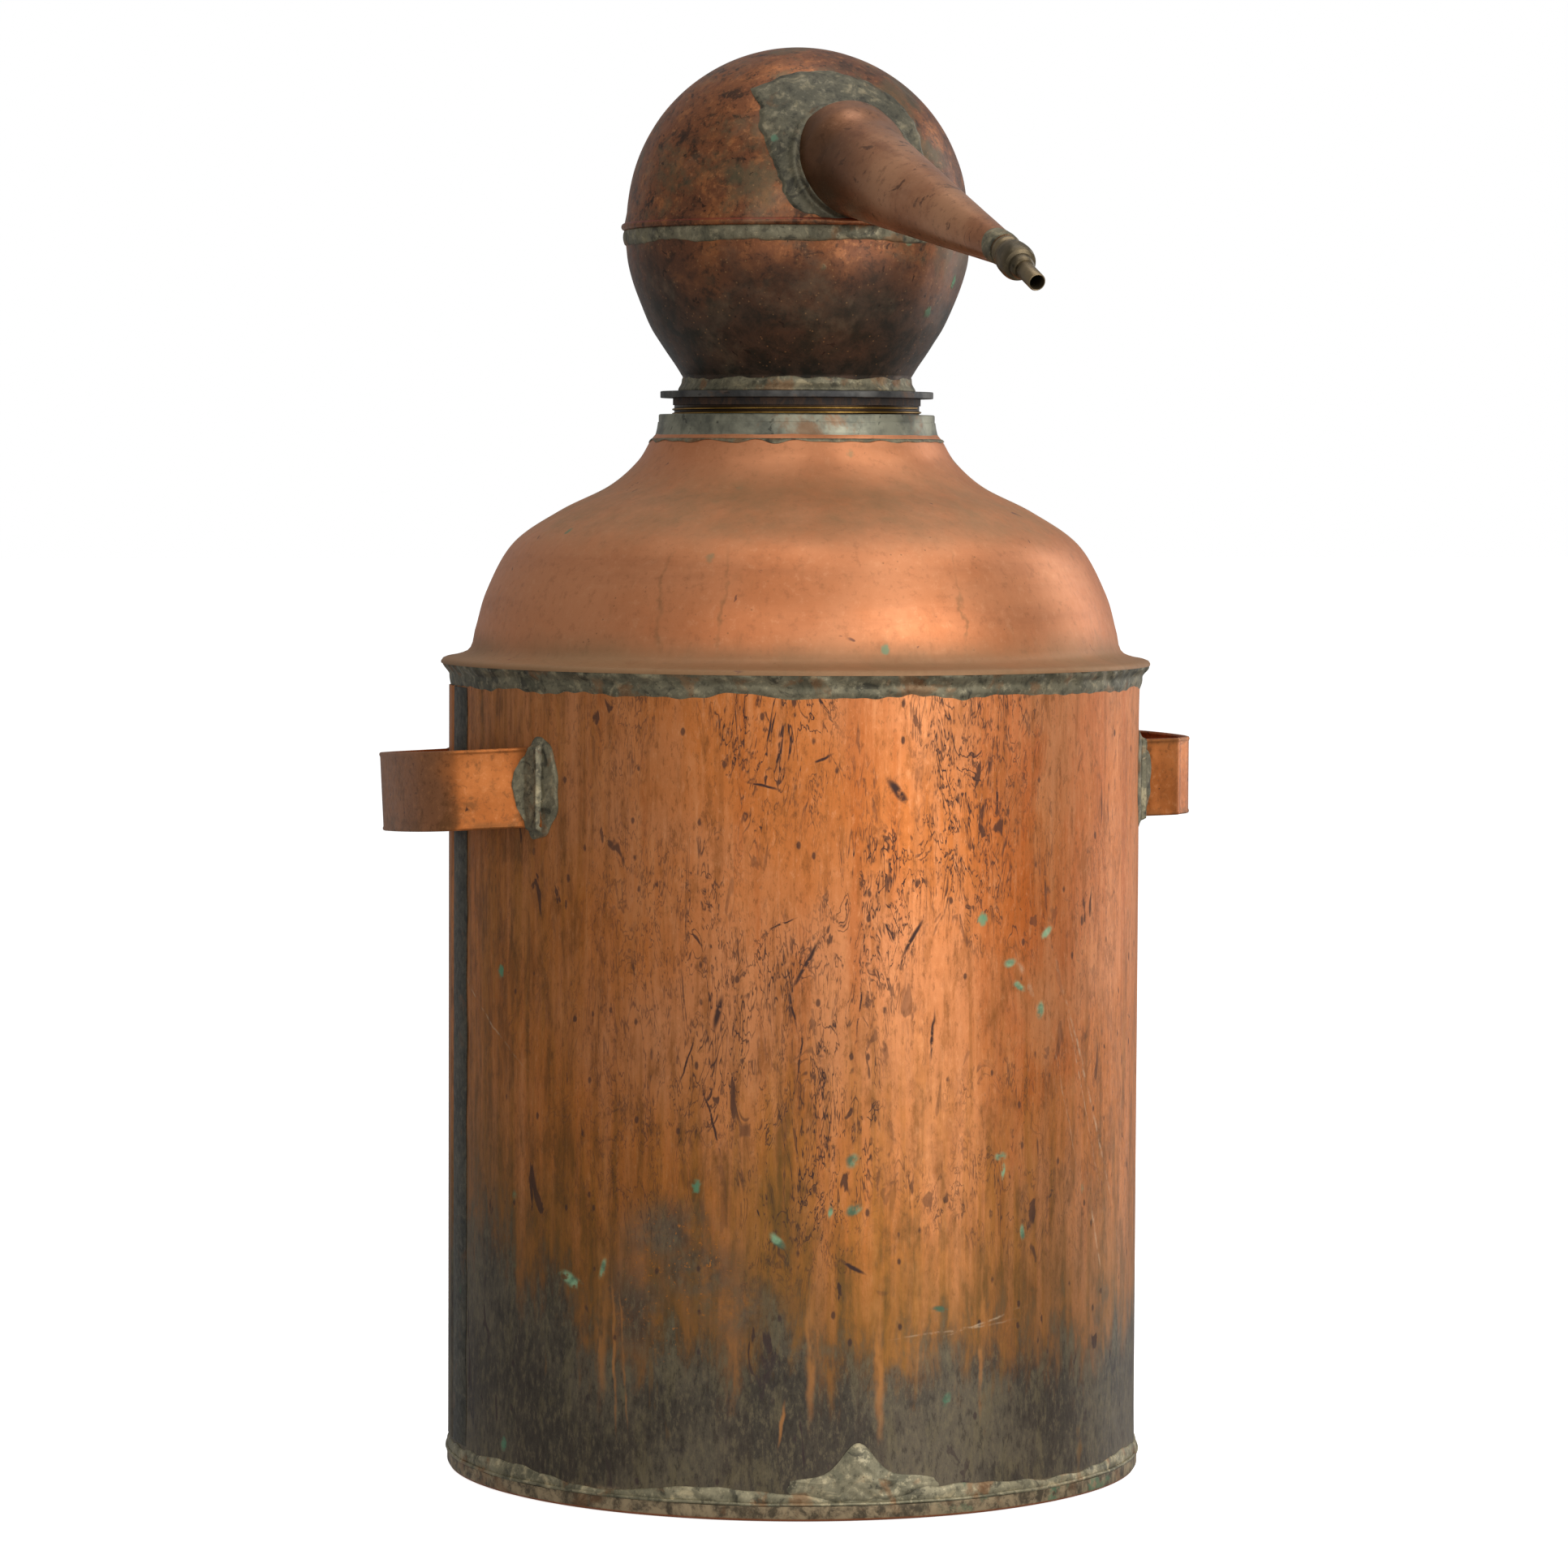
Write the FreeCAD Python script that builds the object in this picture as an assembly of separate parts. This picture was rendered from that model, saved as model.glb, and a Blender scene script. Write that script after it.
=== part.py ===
"""Copper alembic still: a straight pot with a domed shoulder, and a globe head that screws onto its collar.

Millimetres, +Z up. The origin is the centre of the pot's flat bottom. The carrying handles lie on the X axis
and the spout points to -Y. The head is unscrewed by a few turns, as it stands between runs.
"""

import FreeCAD, Part
import math
import os

from FreeCAD import Rotation, Vector

# Driving dimensions
POT_R = 200.0
SHEET = 1.5
POT_TOP_Z = 469.9
PAN_RIM_R = 201.6
PAN_RIM_TOP_Z = 9.0
RIM_BEAD_R = 1.3
RIM_BEAD_MIDDLE_R = 201.2
RIM_BEAD_MIDDLE_Z = 9.9
SOLDER_ON_BEAD_DEG = 60.0
BASE_SOLDER_TOP_Z = 19.0
REPAIR_DEG = 261.0
REPAIR_Z = 20.0
REPAIR_HALF_WIDTH = 44.0
REPAIR_HALF_HEIGHT = 25.0
REPAIR_T = 1.4
FLANGE_TIP_R = 205.9
FLANGE_Z = 467.9
FLANGE_SOLDER_LOW_Z = 453.0

# Dome of the shoulder, from the foot of its flange to the collar: outer radius and height
DOME = [
    (187.1, 479.9), (180.0, 507.5), (164.2, 535.7), (137.4, 554.5),
    (109.2, 568.7), (92.9, 582.8), (84.6, 595.5),
]
SHOULDER_NECK_R = 78.6
SHOULDER_NECK_LOW_Z = 596.9
SHOULDER_NECK_TOP_Z = 603.9

# Collar and screw joint
COLLAR_TOP_Z = 610.4
COLLAR_R = 80.0
SKIRT_TOP_Z = 605.9
SKIRT_FOOT_Z = 595.8
SKIRT_FOOT_R = 83.1
FEMALE_LOW_Z = 588.9
PITCH = 2.5
MALE_ROOT_R = 71.0
MALE_CREST_R = 72.5
THREAD_CLEARANCE = 0.4
RIDGE_BASE_WIDTH = 1.8
RIDGE_CREST_WIDTH = 0.6
MALE_THREAD_Z = 597.1
MALE_TURNS = 6.9
FEMALE_TURNS = 5.7
THREAD_LOW_Z = 595.9
THREAD_TOP_Z = 615.5
SEAL_SEAT_R = 69.5
SEAL_R = 71.8
SEAL_GAP = 0.2
SEAL_POCKET_R = 73.6
SEAL_POCKET_Z = 606.2
PLATE_LOW_Z = 619.8
PLATE_TOP_Z = 623.7
PLATE_R = 79.1
MALE_BORE_R = 65.0

# Head
NECK_R = 66.0
GLOBE_R = 99.0
GLOBE_Z = 723.0
HEAD_SHEET = 1.2
BOWL = [(70.6, 639.1), (86.1, 662.6), (93.9, 681.3), (98.1, 695.4), (99.6, 715.5)]
NECK_SOLDER_TOP_Z = 633.3
FLARE_R = 66.4
FLARE_HEIGHT = 2.0
BELT_BEAD_R = 2.2
BELT_BEAD_Z = 718.2
BELT_SOLDER_LOW_Z = 706.4
BELT_SOLDER_LOW_R = 100.2
BELT_SOLDER_R = 101.3
BELT_SOLDER_TOP_R = 101.0
BELT_SOLDER_RISE = 4.0
SOLDER_GAP = 0.02

# Spout, along its own axis from the head's centre line
SPOUT_FALL_DEG = 14.1
SPOUT_AXIS_Z = 773.8
CONE_END = 322.7
CONE_END_R = 8.1
CONE_TAPER = 0.094
CONE_START = 84.0
SEAM_START = 106.0
CONE_EDGE_TURN = 31.0
SEAM_HALF_WIDTH = 4.0
SEAM_T = 1.0
NOZZLE_DROOP_DEG = 9.0
NOSE = [
    (0.0, 8.3), (3.0, 8.7), (5.0, 8.1), (7.0, 8.5), (10.0, 9.5), (15.0, 9.9), (19.5, 9.7), (21.8, 8.9),
    (22.6, 6.9), (24.6, 6.7), (26.6, 6.6), (28.4, 5.6),
]
TUBE_R = 4.9
TUBE_BORE_R = 4.0
TUBE_END = 47.0
TUBE_SEAT_DEPTH = 14.0
TUBE_SEAT_R = 4.7
NOSE_BORE_R = 4.5
ROOT_SOLDER_R = 46.0
ROOT_HOLE_R = 26.0
ROOT_RISE_DEG = 17.5
ROOT_SOLDER_T = 1.8

# Handles
HANDLE_Z = 400.8
STRAP_HEIGHT = 45.0
STRAP_T = 1.8
HEM_T = 3.0
HEM_HEIGHT = 3.0
TAB_DEG = 24.6
LEG_DEG = 20.6
LEFT_REACH = 242.0
RIGHT_REACH = 235.5
LEFT_DROOP_DEG = 2.0
LEFT_TILT_DEG = 3.0
PATCH_DEG = 24.0
PATCH_HALF_WIDTH = 15.5
PATCH_HALF_HEIGHT = 28.5
PATCH_T = 1.6

# Side seam behind the left handle
LAP_DEG = (163.8, 171.2)
SEAM_SOLDER_DEG = (171.2, 180.6)
LAP_T = 1.1
SEAM_SOLDER_T = 0.8

UP = Vector(0, 0, 1)
ORIGIN = Vector(0, 0, 0)


def polar(radius, degrees, z=0.0):
    """A point at a radius and a plan angle from +X."""
    angle = math.radians(degrees)
    return Vector(radius * math.cos(angle), radius * math.sin(angle), z)


def profile_point(pair):
    """A point of a revolved outline, from its radius and height."""
    return Vector(pair[0], 0, pair[1])


def revolve(points):
    """A ring or a disc from a closed outline of radius and height pairs."""
    outline = Part.makePolygon([profile_point(p) for p in points + points[:1]])
    return Part.Face(outline).revolve(ORIGIN, UP, 360)


def ring(inner_r, outer_r, low_z, top_z):
    """A plain ring about the Z axis."""
    return revolve([(inner_r, low_z), (outer_r, low_z), (outer_r, top_z), (inner_r, top_z)])


def cylinder(radius, low_z, top_z):
    """A plain solid cylinder about the Z axis."""
    return Part.makeCylinder(radius, top_z - low_z, Vector(0, 0, low_z))


def spline_edge(points):
    """A smooth edge through outline points."""
    curve = Part.BSplineCurve()
    curve.interpolate([profile_point(p) for p in points])
    return curve


def inside_points(points, thickness):
    """The same outline moved inward by the sheet's thickness, square to the curve."""
    curve = spline_edge(points)
    moved = []
    for pair in points:
        here = profile_point(pair)
        tangent = curve.tangent(curve.parameter(here))[0]
        inward = Vector(-tangent.z, 0, tangent.x)
        if inward.x > 0:
            inward = inward.negative()
        moved.append((here.x + thickness * inward.x, here.z + thickness * inward.z))
    return moved


def spun_shell(points, thickness, low_end, top_end):
    """A spun sheet: a smooth stretch through points, with straight ends given as outline points.

    low_end and top_end hold the extra corners from the outer curve's end to the inner curve's end.
    """
    outer = spline_edge(points).toShape()
    inner_points = inside_points(points, thickness)
    inner = spline_edge(inner_points).toShape()
    top_path = [points[-1]] + top_end + [inner_points[-1]]
    low_path = [inner_points[0]] + low_end + [points[0]]
    edges = [outer]
    edges += Part.makePolygon([profile_point(p) for p in top_path]).Edges
    edges += [inner]
    edges += Part.makePolygon([profile_point(p) for p in low_path]).Edges
    outline = Part.Wire(Part.__sortEdges__(edges))
    return Part.Face(outline).revolve(ORIGIN, UP, 360)


def thread_ridge(base_r, crest_r, first_z, turns):
    """One start of screw thread: a trapezoid swept along a helix, whose first turn passes first_z at +X."""
    helix = Part.makeLongHelix(PITCH, turns * PITCH, base_r)
    helix.translate(Vector(0, 0, first_z))
    half_base = RIDGE_BASE_WIDTH / 2
    half_crest = RIDGE_CREST_WIDTH / 2
    corners = [(base_r, -half_base), (crest_r, -half_crest), (crest_r, half_crest), (base_r, half_base)]
    section = Part.makePolygon([Vector(r, 0, first_z + z) for r, z in corners + corners[:1]])
    return Part.Wire(helix).makePipeShell([section], True, True)


def sector(low_deg, top_deg, radius, low_z, top_z):
    """A wedge about the Z axis, for cutting a strip from a ring."""
    wedge = Part.makeCylinder(radius, top_z - low_z, Vector(0, 0, low_z), UP, top_deg - low_deg)
    wedge.rotate(ORIGIN, UP, low_deg)
    return wedge


def along_spout(shape):
    """Places a shape made along +Z from the origin on the spout's axis."""
    shape.rotate(ORIGIN, Vector(1, 0, 0), 90.0 + SPOUT_FALL_DEG)
    shape.translate(Vector(0, 0, SPOUT_AXIS_Z))
    return shape


def along_nozzle(shape):
    """Places a shape made along +Z from the origin on the nozzle, which droops from the cone's end."""
    shape.rotate(ORIGIN, Vector(1, 0, 0), NOZZLE_DROOP_DEG)
    shape.translate(Vector(0, 0, CONE_END))
    return along_spout(shape)


def cone_radius(distance):
    """Outer radius of the spout's cone at a distance along its axis."""
    return CONE_END_R + (CONE_END - distance) * CONE_TAPER


def spout_cone_solid(extra, start, end):
    """The solid inside the cone's outer surface moved outward by extra."""
    start_r = cone_radius(start) + extra
    end_r = cone_radius(end) + extra
    cone = Part.makeCone(start_r, end_r, end - start, Vector(0, 0, start))
    cone.rotate(ORIGIN, UP, CONE_EDGE_TURN)
    return along_spout(cone)


def globe_solid(radius):
    """A ball about the globe's centre, with its seam at the back, away from the spout."""
    ball = Part.makeSphere(radius, Vector(0, 0, GLOBE_Z))
    ball.rotate(ORIGIN, UP, 63.0)
    return ball


# Pot
def pot_bottom():
    rim = ring(POT_R, PAN_RIM_R, 0, PAN_RIM_TOP_Z)
    return cylinder(PAN_RIM_R, 0, SHEET).fuse(rim).removeSplitter()


def bead_arc(first_deg, last_deg, count):
    """Outline points on the rolled bead, by the angle from outward about its own centre."""
    points = []
    for step in range(count + 1):
        angle = math.radians(first_deg + (last_deg - first_deg) * step / count)
        radius = RIM_BEAD_MIDDLE_R + RIM_BEAD_R * math.cos(angle)
        points.append((radius, RIM_BEAD_MIDDLE_Z + RIM_BEAD_R * math.sin(angle)))
    return points


def base_rim_bead():
    """The pan's rolled lip, round where it shows and flat where it meets the rim and the wall."""
    rim_end = -math.degrees(math.asin((RIM_BEAD_MIDDLE_Z - PAN_RIM_TOP_Z) / RIM_BEAD_R))
    wall_end = math.degrees(math.acos((POT_R - RIM_BEAD_MIDDLE_R) / RIM_BEAD_R))
    outside = bead_arc(rim_end, SOLDER_ON_BEAD_DEG, 4)
    inside = bead_arc(SOLDER_ON_BEAD_DEG, wall_end, 4)
    return revolve([(POT_R, PAN_RIM_TOP_Z)] + outside + inside[1:])


def base_solder():
    """Solder in the corner above the bead, thinning out up the wall."""
    wall_end = math.degrees(math.acos((POT_R - RIM_BEAD_MIDDLE_R) / RIM_BEAD_R))
    on_bead = bead_arc(wall_end, SOLDER_ON_BEAD_DEG, 4)
    return revolve(on_bead + [(POT_R + 1.7, PAN_RIM_TOP_Z + 5.0), (POT_R, BASE_SOLDER_TOP_Z)])


def base_repair_patch(base_band):
    """A low mound of later solder on the front of the base band."""
    mound = wall_leaf(REPAIR_DEG, REPAIR_Z, REPAIR_HALF_WIDTH, REPAIR_HALF_HEIGHT, REPAIR_T)
    return largest(mound.cut(base_band).cut(cylinder(POT_R + 5.0, 0, PAN_RIM_TOP_Z + 3.0)))


def shoulder():
    outer_foot = [(FLANGE_TIP_R, -1.4), (FLANGE_TIP_R, 0.0), (202.8, 1.9), (193.9, 3.8), (188.9, 6.6)]
    inner_foot = [(185.6, 7.0), (187.6, 4.4), (193.0, 2.2), (202.4, 0.3)]
    foot = [(radius, FLANGE_Z + rise) for radius, rise in inner_foot + outer_foot]
    neck = [(SHOULDER_NECK_R, SHOULDER_NECK_LOW_Z), (SHOULDER_NECK_R, SHOULDER_NECK_TOP_Z)]
    inner_r = SHOULDER_NECK_R - SHEET
    inner_neck = [(inner_r, SHOULDER_NECK_TOP_Z), (inner_r, SHOULDER_NECK_LOW_Z - SHEET)]
    return spun_shell(DOME, SHEET, foot, neck + inner_neck)


def pot_wall(dome_top):
    return ring(POT_R - SHEET, POT_R, SHEET, POT_TOP_Z).cut(dome_top)


def shoulder_solder(dome_top):
    low_z = FLANGE_SOLDER_LOW_Z
    outline = [(POT_R, low_z), (POT_R + 0.9, low_z + 2.0), (POT_R + 2.4, POT_TOP_Z), (POT_R, POT_TOP_Z)]
    return largest(revolve(outline).cut(dome_top))


def wall_strip(degrees, thickness):
    """A strip on the outside of the wall, between the base band and the solder under the flange."""
    low_z = BASE_SOLDER_TOP_Z
    top_z = FLANGE_SOLDER_LOW_Z
    return ring(POT_R, POT_R + thickness, low_z, top_z).common(sector(*degrees, POT_R + 5.0, low_z, top_z))


def collar_thread_ring():
    """The collar's screwed ring: a bored brass ring and the ridge of its inside thread."""
    low = FEMALE_LOW_Z
    outer = SHOULDER_NECK_R - SHEET
    bore = MALE_CREST_R + THREAD_CLEARANCE
    outline = [
        (bore, low), (outer, low), (outer, SKIRT_TOP_Z), (COLLAR_R, SKIRT_TOP_Z),
        (COLLAR_R, COLLAR_TOP_Z - 0.6), (COLLAR_R - 0.6, COLLAR_TOP_Z), (SEAL_POCKET_R, COLLAR_TOP_Z),
        (SEAL_POCKET_R, SEAL_POCKET_Z), (bore, SEAL_POCKET_Z),
    ]
    first_z = MALE_THREAD_Z + 0.5 * PITCH - 3 * PITCH
    ridge = thread_ridge(bore, MALE_ROOT_R + THREAD_CLEARANCE, first_z, FEMALE_TURNS)
    return Part.makeCompound([revolve(outline), ridge])


def collar_skirt():
    """The flared band that hides the shoulder's neck and carries the thread ring."""
    foot_z = SKIRT_FOOT_Z
    outline = [
        (SHOULDER_NECK_R, foot_z + 1.7), (SKIRT_FOOT_R - 0.6, foot_z), (SKIRT_FOOT_R, foot_z + 0.6),
        (SKIRT_FOOT_R - 1.6, foot_z + 4.0), (COLLAR_R + 0.4, SKIRT_TOP_Z - 2.0),
        (COLLAR_R + 0.2, SKIRT_TOP_Z), (SHOULDER_NECK_R, SKIRT_TOP_Z),
    ]
    return revolve(outline)


def collar_solder(dome_top, skirt):
    """Solder in the corner between the skirt's foot and the dome."""
    low_z = SKIRT_FOOT_Z
    outline = [
        (80.0, low_z - 2.0), (86.4, low_z - 3.9), (86.9, low_z - 2.7),
        (84.0, low_z + 0.9), (80.0, low_z + 1.9),
    ]
    inside_r = SHOULDER_NECK_R - 8.0
    under_dome = [(inside_r, DOME[-2][1]), DOME[-2], DOME[-1]]
    under_dome += [(SHOULDER_NECK_R, SHOULDER_NECK_LOW_Z), (inside_r, SHOULDER_NECK_LOW_Z)]
    return largest(revolve(outline).cut(skirt).cut(dome_top).cut(revolve(under_dome)))


# Handles
def strap_path(reach):
    """Plan centre line of a strap on the +X side: tab on the wall, leg, rounded outer bow, leg and tab."""
    centre_r = POT_R + STRAP_T / 2
    tab = polar(centre_r, TAB_DEG)
    tab_middle = polar(centre_r, (TAB_DEG + LEG_DEG) / 2 + 0.6)
    bend = polar(centre_r, LEG_DEG + 1.0)
    leg_low = Vector(bend.x + 4.6, bend.y - 3.4, 0)
    leg_mid = Vector(bend.x + 1.7, bend.y - 0.8, 0)
    outer_x = reach - STRAP_T / 2
    corner = Vector(outer_x - 16.0, leg_low.y - 9.0, 0)
    shoulder_point = Vector(outer_x - 4.6, corner.y - 14.0, 0)
    bow_start = Vector(outer_x - 1.6, shoulder_point.y - 14.0, 0)
    bow_end = Vector(outer_x, 0, 0)
    half = [
        Part.Arc(tab, tab_middle, bend).toShape(),
        Part.Arc(bend, leg_mid, leg_low).toShape(),
        Part.makeLine(leg_low, corner),
        Part.Arc(corner, shoulder_point, bow_start).toShape(),
    ]
    far = Vector(bow_start.x, -bow_start.y, 0)
    middle = Part.Arc(bow_start, bow_end, far).toShape()
    mirrored = []
    for edge in half:
        mirrored.append(edge.mirror(ORIGIN, Vector(0, 1, 0)))
    return Part.Wire(Part.__sortEdges__(half + [middle] + mirrored))


def strap_layer(path, thickness, low_z, top_z):
    """A layer of the strap: its centre line widened both ways and raised between two heights."""
    outer = path.makeOffset2D(thickness / 2, 0, True, True, False)
    inner = path.makeOffset2D(-thickness / 2, 0, True, True, False)
    plan = outer.fuse(inner).removeSplitter()
    plan.translate(Vector(0, 0, low_z))
    return plan.extrude(Vector(0, 0, top_z - low_z))


def handle(reach, droop_deg, tilt_deg):
    """A strap handle on the +X side, with thicker folded hems along its two edges.

    droop_deg lowers the bow, and tilt_deg lowers the foot on the -Y side and keeps the other.
    """
    path = strap_path(reach)
    low_z = HANDLE_Z - STRAP_HEIGHT / 2
    top_z = HANDLE_Z + STRAP_HEIGHT / 2
    strap = strap_layer(path, STRAP_T, low_z + HEM_HEIGHT, top_z - HEM_HEIGHT)
    strap = strap.fuse(strap_layer(path, HEM_T, low_z, low_z + HEM_HEIGHT))
    strap = strap.fuse(strap_layer(path, HEM_T, top_z - HEM_HEIGHT, top_z))
    foot = polar(POT_R, LEG_DEG)
    strap.rotate(Vector(foot.x, 0, HANDLE_Z), Vector(0, 1, 0), droop_deg)
    strap.rotate(Vector(foot.x, foot.y, HANDLE_Z), Vector(1, 0, 0), tilt_deg)
    return largest(strap.cut(cylinder(POT_R, HANDLE_Z - 60.0, HANDLE_Z + 60.0)))


def wall_leaf(degrees, middle_z, half_width, half_height, thickness):
    """A thin oval pad on the pot's wall."""
    long_half = max(half_height, half_width)
    short_half = min(half_height, half_width)
    leaf = Part.Face(Part.Wire(Part.Ellipse(ORIGIN, long_half, short_half).toShape()))
    if half_width > half_height:
        leaf.rotate(ORIGIN, UP, 90)
    leaf.rotate(ORIGIN, Vector(0, 1, 0), 90)
    bar = leaf.extrude(Vector(40, 0, 0))
    bar.translate(Vector(POT_R - 20.0, 0, middle_z))
    bar.rotate(ORIGIN, UP, degrees)
    low_z = middle_z - half_height - 2.0
    top_z = middle_z + half_height + 2.0
    return bar.common(ring(POT_R, POT_R + thickness, low_z, top_z))


def handle_patch(degrees, middle_z, strap):
    """A leaf of solder over one foot of a strap."""
    return largest(wall_leaf(degrees, middle_z, PATCH_HALF_WIDTH, PATCH_HALF_HEIGHT, PATCH_T).cut(strap))


def largest(shape):
    """The biggest solid of a shape, without the crumbs that a cut leaves."""
    return max(shape.Solids, key=lambda solid: solid.Volume)


# Screw joint and head
def neck_thread_ring():
    """The head's screwed ring: a plain brass ring and the ridge of its outside thread."""
    bore = MALE_BORE_R
    outline = [
        (bore, THREAD_LOW_Z), (MALE_ROOT_R, THREAD_LOW_Z), (MALE_ROOT_R, THREAD_TOP_Z),
        (SEAL_SEAT_R, THREAD_TOP_Z), (SEAL_SEAT_R, PLATE_LOW_Z), (bore, PLATE_LOW_Z),
    ]
    ridge = thread_ridge(MALE_ROOT_R, MALE_CREST_R, MALE_THREAD_Z, MALE_TURNS)
    return Part.makeCompound([revolve(outline), ridge])


def neck_seal():
    return ring(SEAL_SEAT_R + 0.3, SEAL_R, THREAD_TOP_Z + SEAL_GAP, PLATE_LOW_Z - SEAL_GAP)


def neck_plate():
    """The flat flange that a hand turns the head down by."""
    edge = 1.2
    outline = [
        (NECK_R, PLATE_LOW_Z), (PLATE_R - edge, PLATE_LOW_Z), (PLATE_R, PLATE_LOW_Z + edge),
        (PLATE_R, PLATE_TOP_Z - edge), (PLATE_R - edge, PLATE_TOP_Z), (NECK_R, PLATE_TOP_Z),
    ]
    return revolve(outline)


def neck_solder():
    """Solder between the plate and the head's neck, thinning out up the neck to where it flares."""
    low_z = PLATE_TOP_Z
    top_z = NECK_SOLDER_TOP_Z
    on_neck = [(FLARE_R + 0.2, top_z), (FLARE_R, top_z), (NECK_R, top_z - FLARE_HEIGHT)]
    return revolve([(NECK_R, low_z), (69.5, low_z), (67.2, low_z + 3.2), (66.9, low_z + 7.2)] + on_neck)


def head_lower_bowl():
    """The lower half of the globe, spun in one piece with the neck that the plate is soldered to."""
    neck = [(NECK_R - HEAD_SHEET, NECK_SOLDER_TOP_Z), (NECK_R - HEAD_SHEET, PLATE_LOW_Z)]
    outer_neck = [
        (NECK_R, PLATE_LOW_Z), (NECK_R, NECK_SOLDER_TOP_Z - FLARE_HEIGHT), (FLARE_R, NECK_SOLDER_TOP_Z),
    ]
    return spun_shell(BOWL, HEAD_SHEET, neck + outer_neck, [])


def head_upper_bowl(cone_body):
    """The domed top of the globe, with the rolled bead that laps over the lower bowl."""
    low_z = BOWL[-1][1]
    inner_r = GLOBE_R - HEAD_SHEET
    dome = globe_solid(GLOBE_R).cut(globe_solid(inner_r)).common(cylinder(GLOBE_R + 5.0, low_z, 900.0))
    roll = Part.makeTorus(GLOBE_R + 0.9, BELT_BEAD_R, Vector(0, 0, BELT_BEAD_Z))
    roll = roll.cut(globe_solid(GLOBE_R - 0.3)).common(ring(90.0, 110.0, low_z, 730.0))
    return dome.fuse(roll).removeSplitter().cut(cone_body)


def bowl_outline_radius(height):
    """Outer radius of the lower bowl at a height."""
    level = Part.makeLine(Vector(GLOBE_R / 2, 0, height), Vector(GLOBE_R * 2, 0, height))
    nearest_points = spline_edge(BOWL).toShape().distToShape(level)[1]
    return nearest_points[0][0].x


def belt_solder():
    """The band of solder under the rolled bead, laid against the bowl."""
    low_z = BELT_SOLDER_LOW_Z
    top_z = BELT_BEAD_Z - BELT_BEAD_R
    on_bowl = []
    for share in (1.0, 0.75, 0.5, 0.25, 0.0):
        height = low_z + share * (BOWL[-1][1] - low_z)
        on_bowl.append((bowl_outline_radius(height) + SOLDER_GAP, height))
    outside = [(BELT_SOLDER_LOW_R, low_z), (BELT_SOLDER_R, low_z + BELT_SOLDER_RISE), (BELT_SOLDER_TOP_R, top_z)]
    return revolve(outside + [(on_bowl[0][0], top_z)] + on_bowl)


def spout_cone():
    """The rolled cone. Its root goes just through the globe's sheet."""
    inside = spout_cone_solid(-HEAD_SHEET, CONE_START, CONE_END)
    return spout_cone_solid(0.0, CONE_START, CONE_END).cut(inside)


def spout_seam():
    """The lapped joint along the underside of the cone."""
    deep = 60.0
    end = CONE_END - 4.0
    lap = spout_cone_solid(SEAM_T, SEAM_START, end).cut(spout_cone_solid(0.0, SEAM_START, end))
    strip = along_spout(Part.makeBox(2 * SEAM_HALF_WIDTH, deep, end, Vector(-SEAM_HALF_WIDTH, -deep, 0)))
    return largest(lap.common(strip))


def spout_root_solder(cone_body):
    """Solder spread over the globe round the spout's root: a cap of the globe, pierced by the cone."""
    outer_r = GLOBE_R + ROOT_SOLDER_T
    half_angle = math.asin(ROOT_SOLDER_R / GLOBE_R)
    middle = math.asin(ROOT_HOLE_R / GLOBE_R)
    edges = []
    for radius in (GLOBE_R, outer_r):
        points = []
        for angle in (middle, (middle + half_angle) / 2, half_angle):
            points.append(Vector(radius * math.sin(angle), 0, radius * math.cos(angle)))
        edges.append(Part.Arc(*points).toShape())
    edges.append(Part.makeLine(edges[0].lastVertex().Point, edges[1].lastVertex().Point))
    edges.append(Part.makeLine(edges[0].firstVertex().Point, edges[1].firstVertex().Point))
    cap = Part.Face(Part.Wire(Part.__sortEdges__(edges))).revolve(ORIGIN, UP, 360)
    cap.rotate(ORIGIN, Vector(1, 0, 0), 90.0 - ROOT_RISE_DEG)
    cap.translate(Vector(0, 0, GLOBE_Z))
    return largest(cap.cut(cone_body).cut(cylinder(130.0, 600.0, BELT_BEAD_Z + BELT_BEAD_R + 0.3)))


def spout_ferrule():
    """The turned brass nose: a bell and a boss along the nozzle, bored for the vapour and the tube."""
    end = NOSE[-1][0]
    outline = [(radius, along) for along, radius in NOSE]
    outline += [(TUBE_SEAT_R, end), (TUBE_SEAT_R, TUBE_SEAT_DEPTH)]
    outline += [(NOSE_BORE_R, TUBE_SEAT_DEPTH), (NOSE_BORE_R, 0.0)]
    cone_room = along_spout(cylinder(2 * CONE_END_R, CONE_END - 2 * CONE_END_R, CONE_END))
    return largest(along_nozzle(revolve(outline)).cut(cone_room))


def ferrule_solder(cone_body):
    """Solder that joins the cone's end to the drooping nose."""
    ball = along_spout(Part.makeSphere(CONE_END_R + 1.4, Vector(0, 0, CONE_END)))
    nose_room = along_nozzle(cylinder(40.0, 0, 60.0))
    bore = along_nozzle(cylinder(TUBE_BORE_R + 2.0, -12.0, 12.0))
    return largest(ball.cut(cone_body).cut(nose_room).cut(bore))


def spout_tube():
    """The outlet tube, with a slightly slimmer end seated in the nose."""
    end = NOSE[-1][0]
    outline = [
        (TUBE_BORE_R, TUBE_SEAT_DEPTH), (TUBE_SEAT_R, TUBE_SEAT_DEPTH), (TUBE_SEAT_R, end), (TUBE_R, end),
        (TUBE_R, TUBE_END), (TUBE_BORE_R, TUBE_END),
    ]
    return along_nozzle(revolve(outline))


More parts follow.
